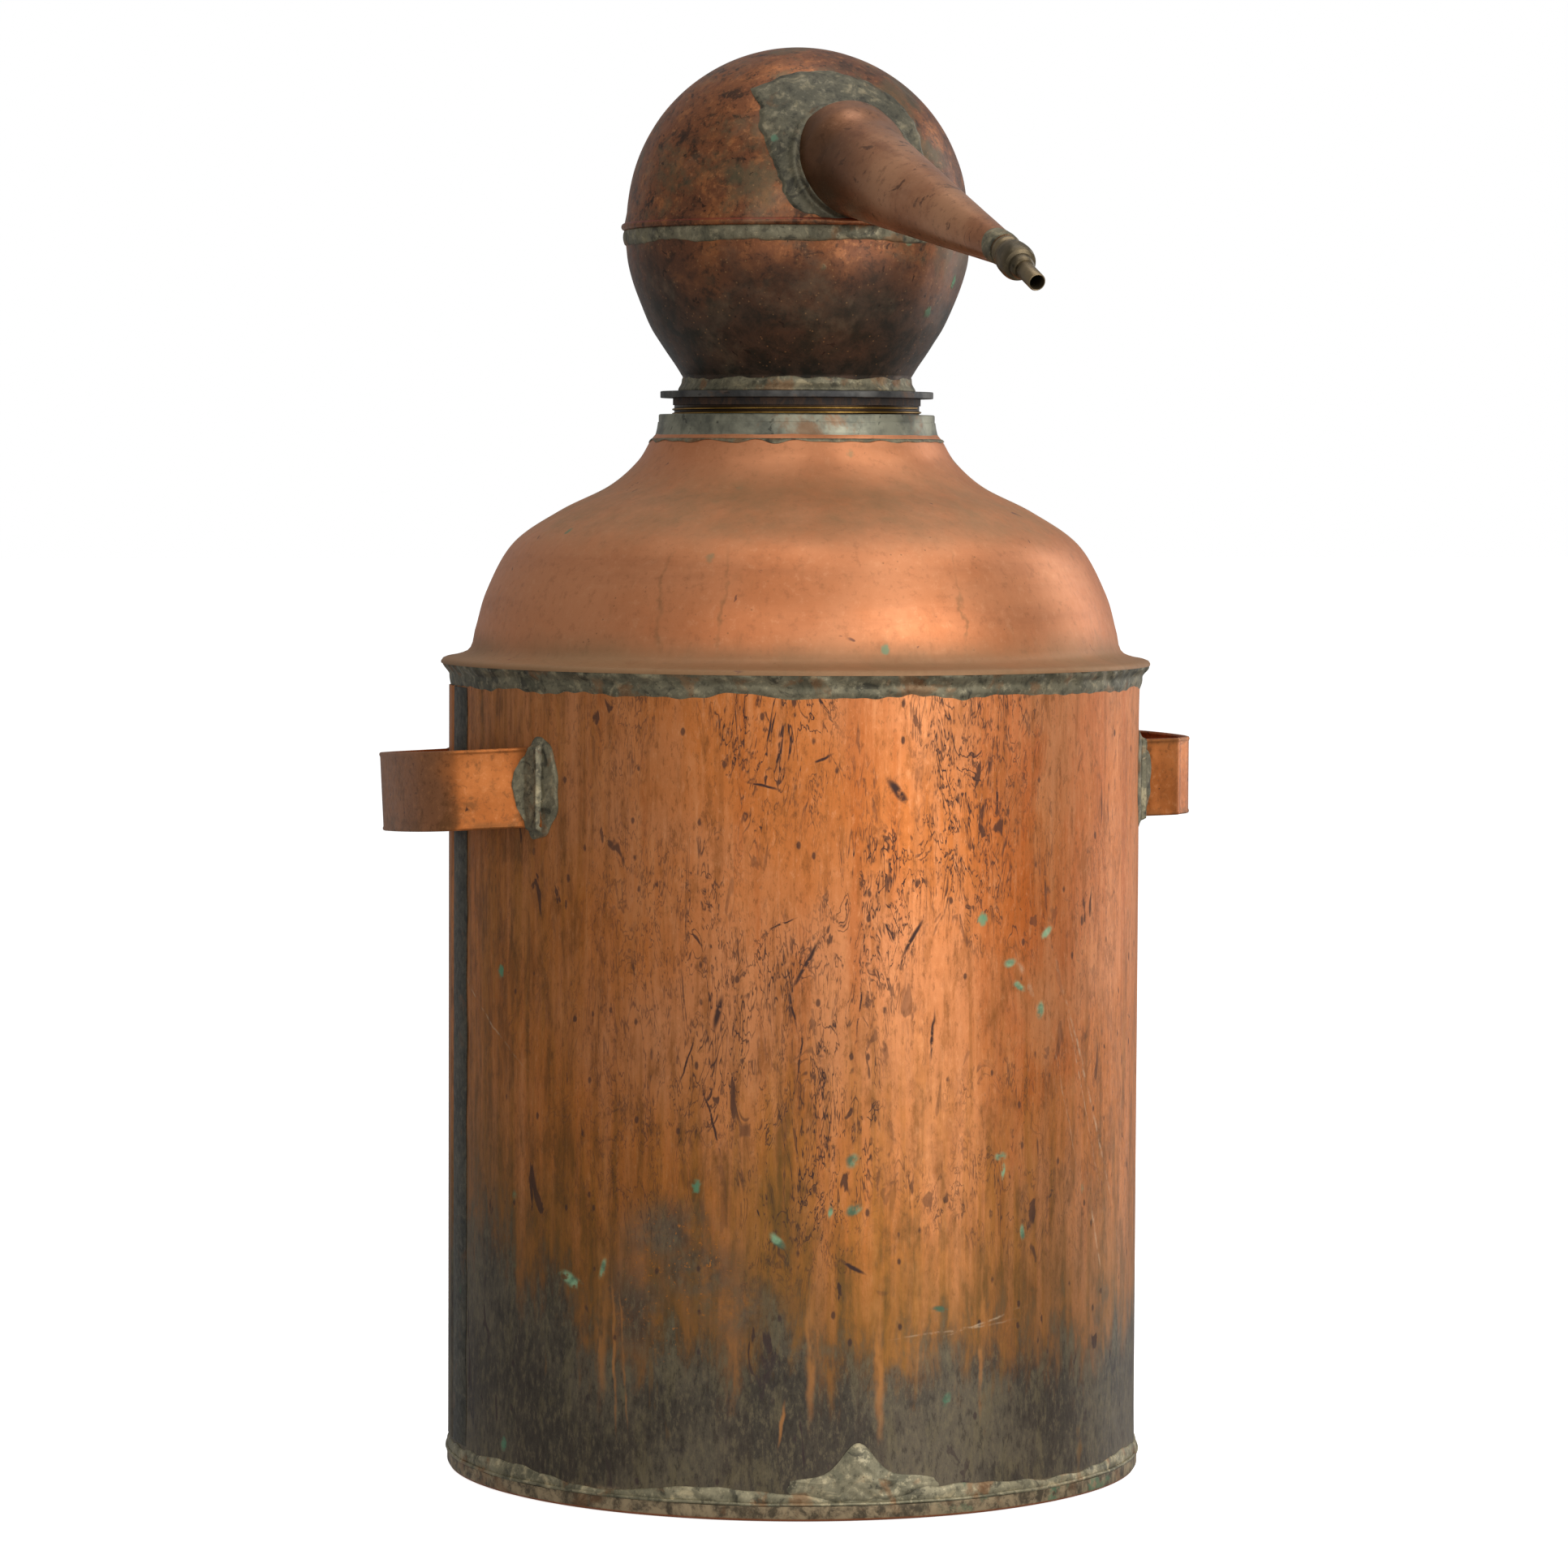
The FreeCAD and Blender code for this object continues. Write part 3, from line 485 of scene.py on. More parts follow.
def copper_pot():
    """Old sheet copper: vertical runs, crazed dark marks, a sooty foot, drips, scratches and green crusts."""
    s = Shader("copper_pot")
    across = s.angle(FRONT_DEG)
    high = s.times(s.z, 1000.0)
    flat = s.unrolled(across, high, 5.0, 60.0)
    cloud = s.noise(7.0, 4.0, 0.5)
    patch = s.noise(16.0, 6.0, 0.62, 0.3, s.scaled(1, 1, 0.45))
    runs = s.noise(42.0, 6.0, 0.65, 0.2, s.scaled(1, 1, 0.06))
    fine_runs = s.noise(170.0, 4.0, 0.6, 0.15, s.scaled(1, 1, 0.045))
    grain = s.noise(260.0, 5.0, 0.6)
    colour = s.mix(s.step(cloud, 0.38, 0.62), srgb(206, 122, 60), srgb(212, 138, 88))
    warm = s.times(s.line(across, 44.0, 20.0), s.step(patch, 0.4, 0.58))
    colour = s.mix(s.times(warm, 0.6), colour, srgb(206, 98, 30))
    colour = s.layers(colour, (
        (runs, 0.5, 0.64, 0.5, srgb(184, 96, 38)),
        (runs, 0.47, 0.34, 0.4, srgb(220, 150, 102)),
        (fine_runs, 0.52, 0.68, 0.4, srgb(150, 88, 40)),
        (fine_runs, 0.46, 0.3, 0.35, srgb(226, 154, 100)),
    ))
    smudge = s.times(s.step(patch, 0.54, 0.7), 0.5)
    colour = s.mix(smudge, colour, srgb(158, 92, 42))
    mid = s.noise(95.0, 7.0, 0.7, 0.3, s.scaled(1, 1, 0.3))
    colour = s.layers(colour, (
        (mid, 0.52, 0.66, 0.5, srgb(148, 86, 36)),
        (mid, 0.45, 0.33, 0.4, srgb(228, 152, 96)),
    ))
    fine = s.noise(330.0, 5.0, 0.75, 0.0, s.scaled(1, 1, 0.4))
    colour = s.layers(colour, (
        (fine, 0.52, 0.68, 0.5, srgb(112, 66, 36)),
        (fine, 0.46, 0.32, 0.35, srgb(234, 164, 112)),
    ))
    # olive shade low down and towards the seam
    wander = s.spread(s.noise(5.0, 3.0), 0.2, 0.8, -70.0, 70.0)
    low_zone = s.step(s.plus(high, wander), 330.0, 130.0)
    seam_zone = s.step(s.plus(across, s.spread(cloud, 0, 1, -16.0, 16.0)), -12.0, -52.0)
    olive_zone = s.math("MAXIMUM", low_zone, s.times(seam_zone, 0.8))
    olive = s.times(
        olive_zone,
        s.plus(0.25, s.times(s.step(runs, 0.42, 0.6), 0.4), s.times(s.step(fine_runs, 0.42, 0.6), 0.3)),
    )
    colour = s.mix(
        s.times(olive, 0.85), colour, s.mix(s.step(mid, 0.42, 0.6), srgb(168, 112, 46), srgb(104, 78, 38))
    )
    # sooty foot: its edge climbs at the seam side, stands up in a blot and sinks at the front
    shift = s.plus(
        s.spread(s.noise(9.0, 4.0, 0.55, 0.0, s.scaled(1, 1, 0.5, (3.0, 1.0, 0.0))), 0.3, 0.7, -26.0, 30.0),
        s.spread(runs, 0.35, 0.65, -16.0, 16.0),
        s.spread(mid, 0.3, 0.7, -26.0, 26.0),
        s.times(s.step(across, -26.0, -58.0), 44.0),
        s.times(s.line(across, 13.0, 17.0), -36.0),
    )
    below = s.math("SUBTRACT", s.plus(108.0, shift), high)
    haze = s.step(below, -120.0, 20.0)
    soot = s.step(below, -24.0, 34.0)
    blot = s.times(s.marks(flat, BLOTS, 0.8), s.step(s.noise(30.0, 6.0, 0.7), 0.3, 0.56))
    soot = s.math("MAXIMUM", soot, s.times(blot, 0.9))
    colour = s.mix(s.times(haze, 0.62), colour, srgb(118, 88, 44))
    dark = s.mix(s.step(s.noise(18.0, 5.0, 0.6), 0.4, 0.62), srgb(66, 62, 54), srgb(98, 90, 74))
    dark = s.mix(s.step(s.noise(26.0, 4.0, 0.6, 0.4), 0.6, 0.72), dark, srgb(44, 42, 44))
    dark = s.layers(dark, (
        (mid, 0.5, 0.66, 0.6, srgb(116, 104, 76)),
        (fine, 0.5, 0.64, 0.6, srgb(122, 110, 84)),
        (fine, 0.48, 0.36, 0.6, srgb(40, 38, 34)),
    ))
    colour = s.mix(s.times(soot, 0.94), colour, dark)
    speckle = s.step(s.noise(420.0, 3.0, 0.6), 0.62, 0.7)
    near_blot = s.marks(flat, [(-64.0, 140.0, 46.0, 36.0, 60.0)], 0.5)
    colour = s.mix(s.times(speckle, near_blot, 0.8), colour, srgb(190, 118, 48))
    glimpse = s.times(
        s.step(s.noise(44.0, 4.0, 0.6, 0.3, s.scaled(1, 1, 0.2, (0.7, 0.2, 0.0))), 0.62, 0.7), soot
    )
    colour = s.mix(s.times(glimpse, 0.6), colour, srgb(138, 98, 48))
    drips = s.times(
        s.marks(flat, DRIPS, 0.6), s.step(s.noise(60.0, 4.0, 0.6, 0.0, s.scaled(1, 1, 0.4)), 0.4, 0.54)
    )
    colour = s.mix(s.times(drips, 0.8), colour, srgb(184, 124, 68))
    # crazing: dark outlines of old runs, thickest on the front, with flecks and specks all over
    front = s.step(s.math("ABSOLUTE", s.math("SUBTRACT", across, 9.0)), 58.0, 14.0)
    clear = s.step(high, 95.0, 180.0)
    patchy = s.step(s.noise(13.0, 4.0, 0.5, 0.0, s.scaled(1, 1, 0.5, (5.0, 5.0, 2.0))), 0.38, 0.52)
    craze = s.noise(34.0, 5.0, 0.6, 0.9, s.scaled(1, 1, 0.24))
    craze_fine = s.noise(80.0, 4.0, 0.6, 0.7, s.scaled(1, 1, 0.22, (2.0, 0.0, 1.0)))
    lines = s.highest(
        s.line(craze, 0.5, 0.0085),
        s.line(craze, 0.57, 0.01),
        s.times(s.line(craze_fine, 0.56, 0.019), 0.9),
        s.times(s.line(craze_fine, 0.49, 0.016), 0.75),
    )
    broken = s.step(s.noise(120.0, 3.0), 0.36, 0.5)
    hair = s.times(lines, patchy, broken, s.plus(s.times(front, 0.8), 0.3), clear)
    fleck_noise = s.noise(74.0, 4.0, 0.55, 0.8, s.scaled(1, 1, 0.34, (1.0, 2.0, 3.0)))
    flecks = s.times(s.step(fleck_noise, 0.638, 0.675), s.plus(s.times(patchy, 0.7), 0.3))
    specks = s.cells(105.0, s.scaled(1, 1, 0.55))
    speck = s.step(s.plus(specks.outputs["Distance"], s.spread(grain, 0, 1, -0.08, 0.08)), 0.17, 0.08)
    chance = s.tree.nodes.new("ShaderNodeSeparateColor")
    s.link(specks.outputs["Color"], chance.inputs[0])
    speck = s.times(speck, s.step(chance.outputs[0], 0.62, 0.66), 0.8)
    gouge = s.marks(flat, GOUGES, 0.5)
    gouge = s.times(gouge, s.step(s.noise(140.0, 4.0, 0.6), 0.34, 0.5))
    marks = s.highest(s.times(hair, 0.95), s.times(flecks, 0.85), speck, gouge)
    colour = s.mix(s.times(marks, 0.95), colour, srgb(52, 32, 30))
    crust = s.times(s.marks(flat, CRUSTS, 0.5), s.step(s.noise(150.0, 4.0, 0.6), 0.34, 0.5))
    green = s.mix(s.step(s.noise(90.0), 0.4, 0.6), srgb(70, 106, 80), srgb(134, 172, 132))
    colour = s.mix(s.times(crust, 0.9), colour, green)
    colour = verdigris(s, colour, 52.0, 0.9)[0]
    scratch = s.times(s.marks(flat, SCRATCHES, 0.9), s.step(s.noise(110.0, 4.0, 0.6), 0.42, 0.66))
    colour = s.mix(s.times(scratch, 0.65), colour, srgb(216, 186, 150))
    smear = s.noise(120.0, 6.0, 0.7, 0.3)
    rim = s.mix(s.step(smear, 0.38, 0.62), srgb(172, 150, 116), srgb(90, 78, 60))
    rim = s.mix(s.times(s.step(s.noise(50.0, 4.0, 0.6), 0.54, 0.66), 0.5), rim, srgb(132, 92, 58))
    rim_green = s.times(s.step(across, 18.0, 40.0), s.step(s.noise(80.0, 5.0, 0.65), 0.52, 0.6))
    rim = s.mix(s.times(rim_green, 0.7), rim, srgb(104, 138, 104))
    rim = s.mix(s.step(high, 2.6, 1.4), rim, srgb(150, 86, 50))
    colour = s.mix(s.step(high, 16.0, 11.0), colour, rim)
    rough = s.plus(
        s.spread(grain, 0.2, 0.8, 0.44, 0.58), s.times(soot, 0.02), s.times(marks, 0.15), s.times(crust, 0.3)
    )
    metal = s.math(
        "SUBTRACT", 0.8, s.plus(s.times(soot, 0.3), s.times(marks, 0.4), s.times(crust, 0.7)), clamp=True
    )
    s.bump(runs, 0.0005, 0.35)
    s.bump(grain, 0.00015, 0.5)
    return s.finish(colour, rough, metal)


def copper_shoulder():
    """Satin salmon copper with grey-green bloom in the hollows."""
    s = Shader("copper_shoulder")
    across = s.angle(FRONT_DEG)
    high = s.times(s.z, 1000.0)
    cloud = s.noise(8.0, 5.0, 0.55)
    grain = s.noise(240.0, 5.0, 0.6)
    spin = s.noise(60.0, 5.0, 0.6, 0.1, s.scaled(0.12, 0.12, 1.0))
    colour = s.mix(s.step(cloud, 0.35, 0.65), srgb(198, 122, 76), srgb(212, 142, 98))
    colour = s.mix(s.times(s.step(spin, 0.5, 0.7), 0.25), colour, srgb(164, 100, 66))
    fine = s.noise(170.0, 6.0, 0.72, 0.0)
    colour = s.layers(colour, (
        (fine, 0.52, 0.68, 0.3, srgb(142, 88, 56)),
        (fine, 0.46, 0.33, 0.25, srgb(228, 166, 122)),
    ))
    wander = s.spread(s.noise(14.0, 5.0, 0.6), 0, 1, -16.0, 16.0)
    height = s.plus(high, wander)
    hollow = s.times(s.step(height, 528.0, 552.0), s.step(height, 588.0, 562.0))
    colour = s.mix(
        s.times(hollow, s.spread(s.noise(40.0, 5.0, 0.7), 0.3, 0.7, 0.3, 0.95), 0.8), colour,
        srgb(146, 116, 80),
    )
    foot = s.step(s.plus(high, s.times(wander, 0.7)), 492.0, 468.0)
    colour = s.mix(s.times(foot, 0.75), colour, srgb(122, 102, 70))
    fine_runs = s.noise(120.0, 4.0, 0.6, 0.2, s.scaled(1, 1, 0.05))
    colour = s.mix(
        s.times(s.step(fine_runs, 0.55, 0.75), 0.3, s.step(high, 560.0, 480.0)), colour, srgb(138, 94, 58)
    )
    stains = None
    for where, width in ((-25.0, 0.8), (-13.0, 0.6), (31.0, 0.5)):
        bend = s.spread(s.noise(22.0, 5.0, 0.6), 0, 1, -5.0, 5.0)
        mark = s.times(
            s.line(s.plus(across, bend), where, width), s.step(high, 540.0, 520.0), s.step(high, 470.0, 490.0)
        )
        stains = mark if stains is None else s.math("MAXIMUM", stains, mark)
    stains = s.times(stains, s.step(s.noise(50.0, 4.0, 0.6), 0.36, 0.6))
    colour = s.mix(s.times(stains, 0.45), colour, srgb(120, 92, 60))
    spots = s.step(s.noise(75.0, 3.0, 0.5, 0.8), 0.7, 0.74)
    colour = s.mix(s.times(spots, 0.75), colour, srgb(92, 52, 42))
    specks = s.step(s.cells(170.0).outputs["Distance"], 0.13, 0.05)
    colour = s.mix(s.times(specks, s.step(s.noise(22.0), 0.5, 0.6), 0.5), colour, srgb(98, 74, 50))
    colour = verdigris(s, colour, 60.0, 0.93, 3.0, (112, 132, 100))[0]
    rough = s.plus(s.spread(grain, 0.2, 0.8, 0.36, 0.5), s.times(hollow, 0.12), s.times(foot, 0.14))
    metal = s.math(
        "SUBTRACT", 0.74, s.plus(s.times(hollow, 0.3), s.times(foot, 0.35), s.times(spots, 0.3)), clamp=True
    )
    s.bump(grain, 0.00012, 0.5)
    s.bump(spin, 0.0003, 0.25)
    s.bump(spots, 0.0005, -0.5)
    return s.finish(colour, rough, metal)


def copper_head():
    """Dark red-brown copper with fine orange mottling, and painted shade darkening the lower bowl towards the
    neck.
    """
    s = Shader("copper_head")
    high = s.times(s.z, 1000.0)
    mottle = s.noise(75.0, 8.0, 0.7, 0.35)
    broad = s.noise(24.0, 6.0, 0.62, 0.3)
    cloud = s.noise(10.0, 4.0, 0.5)
    grain = s.noise(300.0, 5.0, 0.65)
    colour = s.mix(s.step(cloud, 0.38, 0.62), srgb(112, 70, 48), srgb(138, 84, 52))
    colour = s.layers(colour, (
        (broad, 0.5, 0.66, 0.55, srgb(172, 106, 60)),
        (mottle, 0.52, 0.66, 0.65, srgb(186, 118, 70)),
        (mottle, 0.47, 0.36, 0.85, srgb(58, 42, 32)),
        (broad, 0.46, 0.32, 0.6, srgb(84, 62, 46)),
    ))
    fine = s.noise(210.0, 6.0, 0.75, 0.2)
    colour = s.layers(colour, (
        (fine, 0.52, 0.66, 0.7, srgb(44, 34, 27)),
        (fine, 0.45, 0.32, 0.55, srgb(198, 132, 84)),
    ))
    bloom = s.step(s.noise(17.0, 6.0, 0.65, 0.2, s.scaled(1, 1, 1, (4.0, 2.0, 9.0))), 0.5, 0.62)
    colour = s.mix(s.times(bloom, 0.65), colour, srgb(98, 90, 66))
    # painted shade: the downward-facing lower bowl under the bead darkens towards the neck
    wander = s.spread(broad, 0.2, 0.8, -14.0, 14.0)
    lower = s.step(s.plus(high, wander), 718.0, 690.0)
    colour = s.mix(s.times(lower, 0.5), colour, srgb(92, 64, 50))
    painted_shade_to_neck = s.step(s.plus(high, wander), 706.0, 654.0)
    black = s.mix(s.step(mottle, 0.4, 0.6), srgb(42, 42, 35), srgb(72, 58, 47))
    colour = s.mix(s.times(painted_shade_to_neck, 0.9), colour, black)
    dust = s.times(s.step(s.noise(26.0, 5.0, 0.65), 0.52, 0.68), 0.35)
    colour = s.mix(dust, colour, srgb(120, 100, 76))
    specks = s.step(s.noise(190.0, 3.0, 0.5, 0.6), 0.66, 0.71)
    colour = s.mix(s.times(specks, 0.75), colour, srgb(40, 28, 22))
    light = s.step(s.cells(230.0).outputs["Distance"], 0.16, 0.06)
    colour = s.mix(s.times(light, 0.45), colour, srgb(176, 132, 88))
    colour, green = verdigris(s, colour, 52.0, 0.55, 7.0, (92, 140, 104))
    crease = s.times(s.line(high, 719.6, 0.9), s.step(s.noise(20.0), 0.3, 0.5))
    colour = s.mix(s.times(crease, 0.75), colour, srgb(128, 52, 38))
    rough = s.plus(s.spread(grain, 0.2, 0.8, 0.34, 0.5), s.times(painted_shade_to_neck, 0.04), s.times(green, 0.2))
    metal = s.math(
        "SUBTRACT", 0.72, s.plus(s.times(painted_shade_to_neck, 0.1), s.times(green, 0.5), s.times(dust, 0.5)), clamp=True
    )
    s.bump(mottle, 0.0004, 0.35)
    s.bump(grain, 0.00012, 0.5)
    s.bump(green, 0.0006, 0.6)
    return s.finish(colour, rough, metal)


def copper_spout():
    """Satin copper handled over the years, with brown spots and painted shade on its -X flank near the root.
    """
    s = Shader("copper_spout")
    cloud = s.noise(22.0, 5.0, 0.55)
    grain = s.noise(280.0, 5.0, 0.6)
    along = s.noise(50.0, 5.0, 0.6, 0.4, s.scaled(1.0, 0.25, 0.6))
    colour = s.mix(s.step(cloud, 0.35, 0.65), srgb(178, 118, 80), srgb(204, 146, 106))
    colour = s.mix(s.times(s.step(along, 0.52, 0.7), 0.5), colour, srgb(122, 72, 44))
    spots = s.step(s.noise(80.0, 5.0, 0.6, 0.8), 0.6, 0.66)
    colour = s.mix(s.times(spots, 0.75), colour, srgb(88, 58, 40))
    root = s.step(s.plus(s.times(s.y, 1000.0), s.spread(cloud, 0.2, 0.8, -20.0, 20.0)), -170.0, -96.0)
    colour = s.mix(s.times(root, 0.55), colour, srgb(118, 70, 42))
    fine = s.noise(200.0, 6.0, 0.72, 0.2)
    colour = s.layers(colour, (
        (fine, 0.52, 0.66, 0.4, srgb(104, 66, 42)),
        (fine, 0.46, 0.33, 0.3, srgb(206, 150, 110)),
    ))
    # painted shade: the -X flank, turned away from the key light, is darkened towards the root
    left = s.step(s.plus(s.times(s.x, 1000.0), s.spread(cloud, 0.2, 0.8, -5.0, 5.0)), -10.0, -26.0)
    shade = s.step(s.plus(s.times(s.y, 1000.0), s.spread(cloud, 0.2, 0.8, -20.0, 20.0)), -210.0, -110.0)
    colour = s.mix(s.times(left, shade, 0.8), colour, srgb(84, 56, 34))
    pale = s.step(s.noise(34.0, 5.0, 0.7, 0.6), 0.6, 0.72)
    colour = s.mix(s.times(pale, 0.35), colour, srgb(196, 142, 108))
    rough = s.spread(grain, 0.2, 0.8, 0.24, 0.38)
    s.bump(grain, 0.0001, 0.5)
    s.bump(spots, 0.0003, -0.5)
    return s.finish(colour, rough, 0.75)


def copper_handle():
    """Strap copper with brown stains, painted shade greying the left handle's bow, and darker edges."""
    s = Shader("copper_handle")
    cloud = s.noise(26.0, 5.0, 0.55)
    grain = s.noise(280.0, 5.0, 0.6)
    colour = s.mix(s.step(cloud, 0.36, 0.64), srgb(176, 100, 46), srgb(200, 120, 62))
    # painted shade: the left strap's bow, turned away from the key light, is greyed
    painted_shade_bow = s.step(s.plus(s.times(s.x, 1000.0), s.spread(cloud, 0.2, 0.8, -8.0, 8.0)), -222.0, -236.0)
    colour = s.mix(s.times(painted_shade_bow, 0.6), colour, srgb(150, 112, 84))
    stain = s.noise(60.0, 6.0, 0.7, 0.4)
    colour = s.mix(s.times(s.step(stain, 0.53, 0.68), 0.6), colour, srgb(116, 76, 42))
    fine = s.noise(220.0, 6.0, 0.72, 0.2)
    colour = s.layers(colour, (
        (fine, 0.52, 0.66, 0.5, srgb(106, 66, 38)),
        (fine, 0.46, 0.33, 0.3, srgb(222, 150, 96)),
    ))
    edge = s.step(s.math("ABSOLUTE", s.math("SUBTRACT", s.times(s.z, 1000.0), HANDLE_Z)), 17.5, 21.5)
    colour = s.mix(s.times(edge, s.step(s.noise(50.0), 0.42, 0.6), 0.5), colour, srgb(112, 76, 42))
    spots = s.step(s.noise(130.0, 3.0, 0.5, 0.8), 0.67, 0.71)
    colour = s.mix(s.times(spots, 0.8), colour, srgb(56, 38, 30))
    rough = s.spread(grain, 0.2, 0.8, 0.34, 0.5)
    s.bump(grain, 0.00012, 0.5)
    s.bump(cloud, 0.0004, 0.3)
    return s.finish(colour, rough, 0.8)


def solder_metal(name="solder", rusty=0.45, shade=1.0):
    """Dull hand-wiped solder. rusty is how brown its stains are, and shade how light it is."""

    def tone(red, green, blue):
        return srgb(red * shade, green * shade, blue * shade)

    s = Shader(name)
    cloud = s.noise(30.0, 6.0, 0.65, 0.4)
    grain = s.noise(220.0, 5.0, 0.7)
    smear = s.noise(90.0, 5.0, 0.6, 0.8)
    colour = s.mix(s.step(cloud, 0.36, 0.62), tone(92, 88, 70), tone(128, 120, 96))
    colour = s.layers(colour, (
        (smear, 0.54, 0.7, 0.6, tone(184, 168, 132)),
        (smear, 0.46, 0.34, 0.75, tone(56, 53, 43)),
        (grain, 0.52, 0.68, 0.5, tone(48, 46, 38)),
        (grain, 0.46, 0.34, 0.35, tone(192, 178, 144)),
    ))
    rust = s.step(s.noise(48.0, 4.0, 0.6, 0.3), 0.64 - 0.2 * rusty, 0.74 - 0.2 * rusty)
    colour = s.mix(s.times(rust, rusty), colour, srgb(146, 96, 52))
    pits = s.step(s.cells(330.0).outputs["Distance"], 0.2, 0.06)
    pits = s.times(pits, s.step(s.noise(60.0), 0.48, 0.6))
    colour = s.mix(s.times(pits, 0.7), colour, srgb(44, 42, 38))
    colour, green = verdigris(s, colour, 70.0, 0.88, 11.0, (92, 122, 98))
    rough = s.plus(s.spread(grain, 0.2, 0.8, 0.42, 0.62), s.times(green, 0.2))
    s.bump(cloud, 0.0008, 0.4)
    s.bump(grain, 0.00025, 0.6)
    s.bump(pits, 0.0005, -0.7)
    return s.finish(colour, rough, 0.55)


def aged_brass(name, light, dark, stain, rough_low, metal, ringed=False):
    """Brass fitting metal in a light and a dark tone, stained in patches."""
    s = Shader(name)
    cloud = s.noise(40.0, 5.0, 0.6, 0.2)
    grain = s.noise(320.0, 4.0, 0.6)
    colour = s.mix(s.step(cloud, 0.38, 0.62), srgb(*dark), srgb(*light))
    marks = s.noise(26.0, 5.0, 0.7, 0.4)
    colour = s.mix(s.times(s.step(marks, 0.56, 0.68), 0.7), colour, srgb(*stain))
    specks = s.step(s.noise(160.0, 3.0, 0.5, 0.6), 0.64, 0.7)
    colour = s.mix(s.times(specks, 0.6), colour, srgb(*[value * 0.4 for value in dark]))
    turned = s.noise(400.0, 2.0, 0.5, 0.0, s.scaled(0.02, 0.02, 1.0))
    if ringed:
        s.bump(turned, 0.0002, 0.5)
    s.bump(grain, 0.00012, 0.5)
    return s.finish(colour, s.spread(grain, 0.2, 0.8, rough_low, rough_low + 0.16), metal)


def thread_brass():
    """Rubbed brass crests over dark brown roots."""
    s = Shader("thread_brass")
    radius = s.times(s.math("SQRT", s.plus(s.times(s.x, s.x), s.times(s.y, s.y))), 1000.0)
    crest = s.step(s.plus(radius, s.spread(s.noise(90.0, 4.0), 0, 1, -0.4, 0.4)), 71.4, 72.4)
    tone = s.mix(s.step(s.noise(50.0, 4.0), 0.4, 0.6), srgb(128, 96, 38), srgb(170, 132, 66))
    colour = s.mix(crest, srgb(52, 36, 22), tone)
    grain = s.noise(320.0, 4.0)
    s.bump(grain, 0.0001, 0.5)
    return s.finish(colour, s.spread(grain, 0.2, 0.8, 0.32, 0.5), 0.8)


def seal_leather():
    """Old oiled leather, nearly black, cracked across."""
    s = Shader("seal_leather")
    cracks = s.noise(160.0, 5.0, 0.7, 0.6, s.scaled(1, 1, 0.5))
    colour = s.mix(s.step(cracks, 0.4, 0.62), srgb(36, 25, 18), srgb(74, 50, 32))
    s.bump(cracks, 0.0004, 0.7)
    s.bump(s.noise(500.0, 3.0), 0.0001, 0.5)
    return s.finish(colour, s.spread(cracks, 0.2, 0.8, 0.6, 0.8), 0.0)


materials = {
    "copper_pot": copper_pot(),
    "copper_shoulder": copper_shoulder(),
    "copper_head": copper_head(),
    "copper_spout": copper_spout(),
    "copper_handle": copper_handle(),
    "solder": solder_metal(),
    "repair_solder": solder_metal("repair_solder", 0.45, 1.15),
    "seam_solder": solder_metal("seam_solder", 0.25, 0.62),
    "root_solder": solder_metal("root_solder", 0.2, 0.8),
    "base_metal": solder_metal("base_metal", 0.5, 1.2),
    "tinned_brass": aged_brass("tinned_brass", (150, 148, 128), (96, 96, 84), (128, 88, 56), 0.34, 0.7, True),
    "dark_plate": aged_brass("dark_plate", (88, 86, 82), (50, 50, 50), (112, 84, 62), 0.4, 0.6),
    "thread_brass": thread_brass(),
    "nose_brass": aged_brass("nose_brass", (134, 116, 88), (84, 74, 56), (70, 58, 44), 0.3, 0.8),
    "seal_leather": seal_leather(),
}


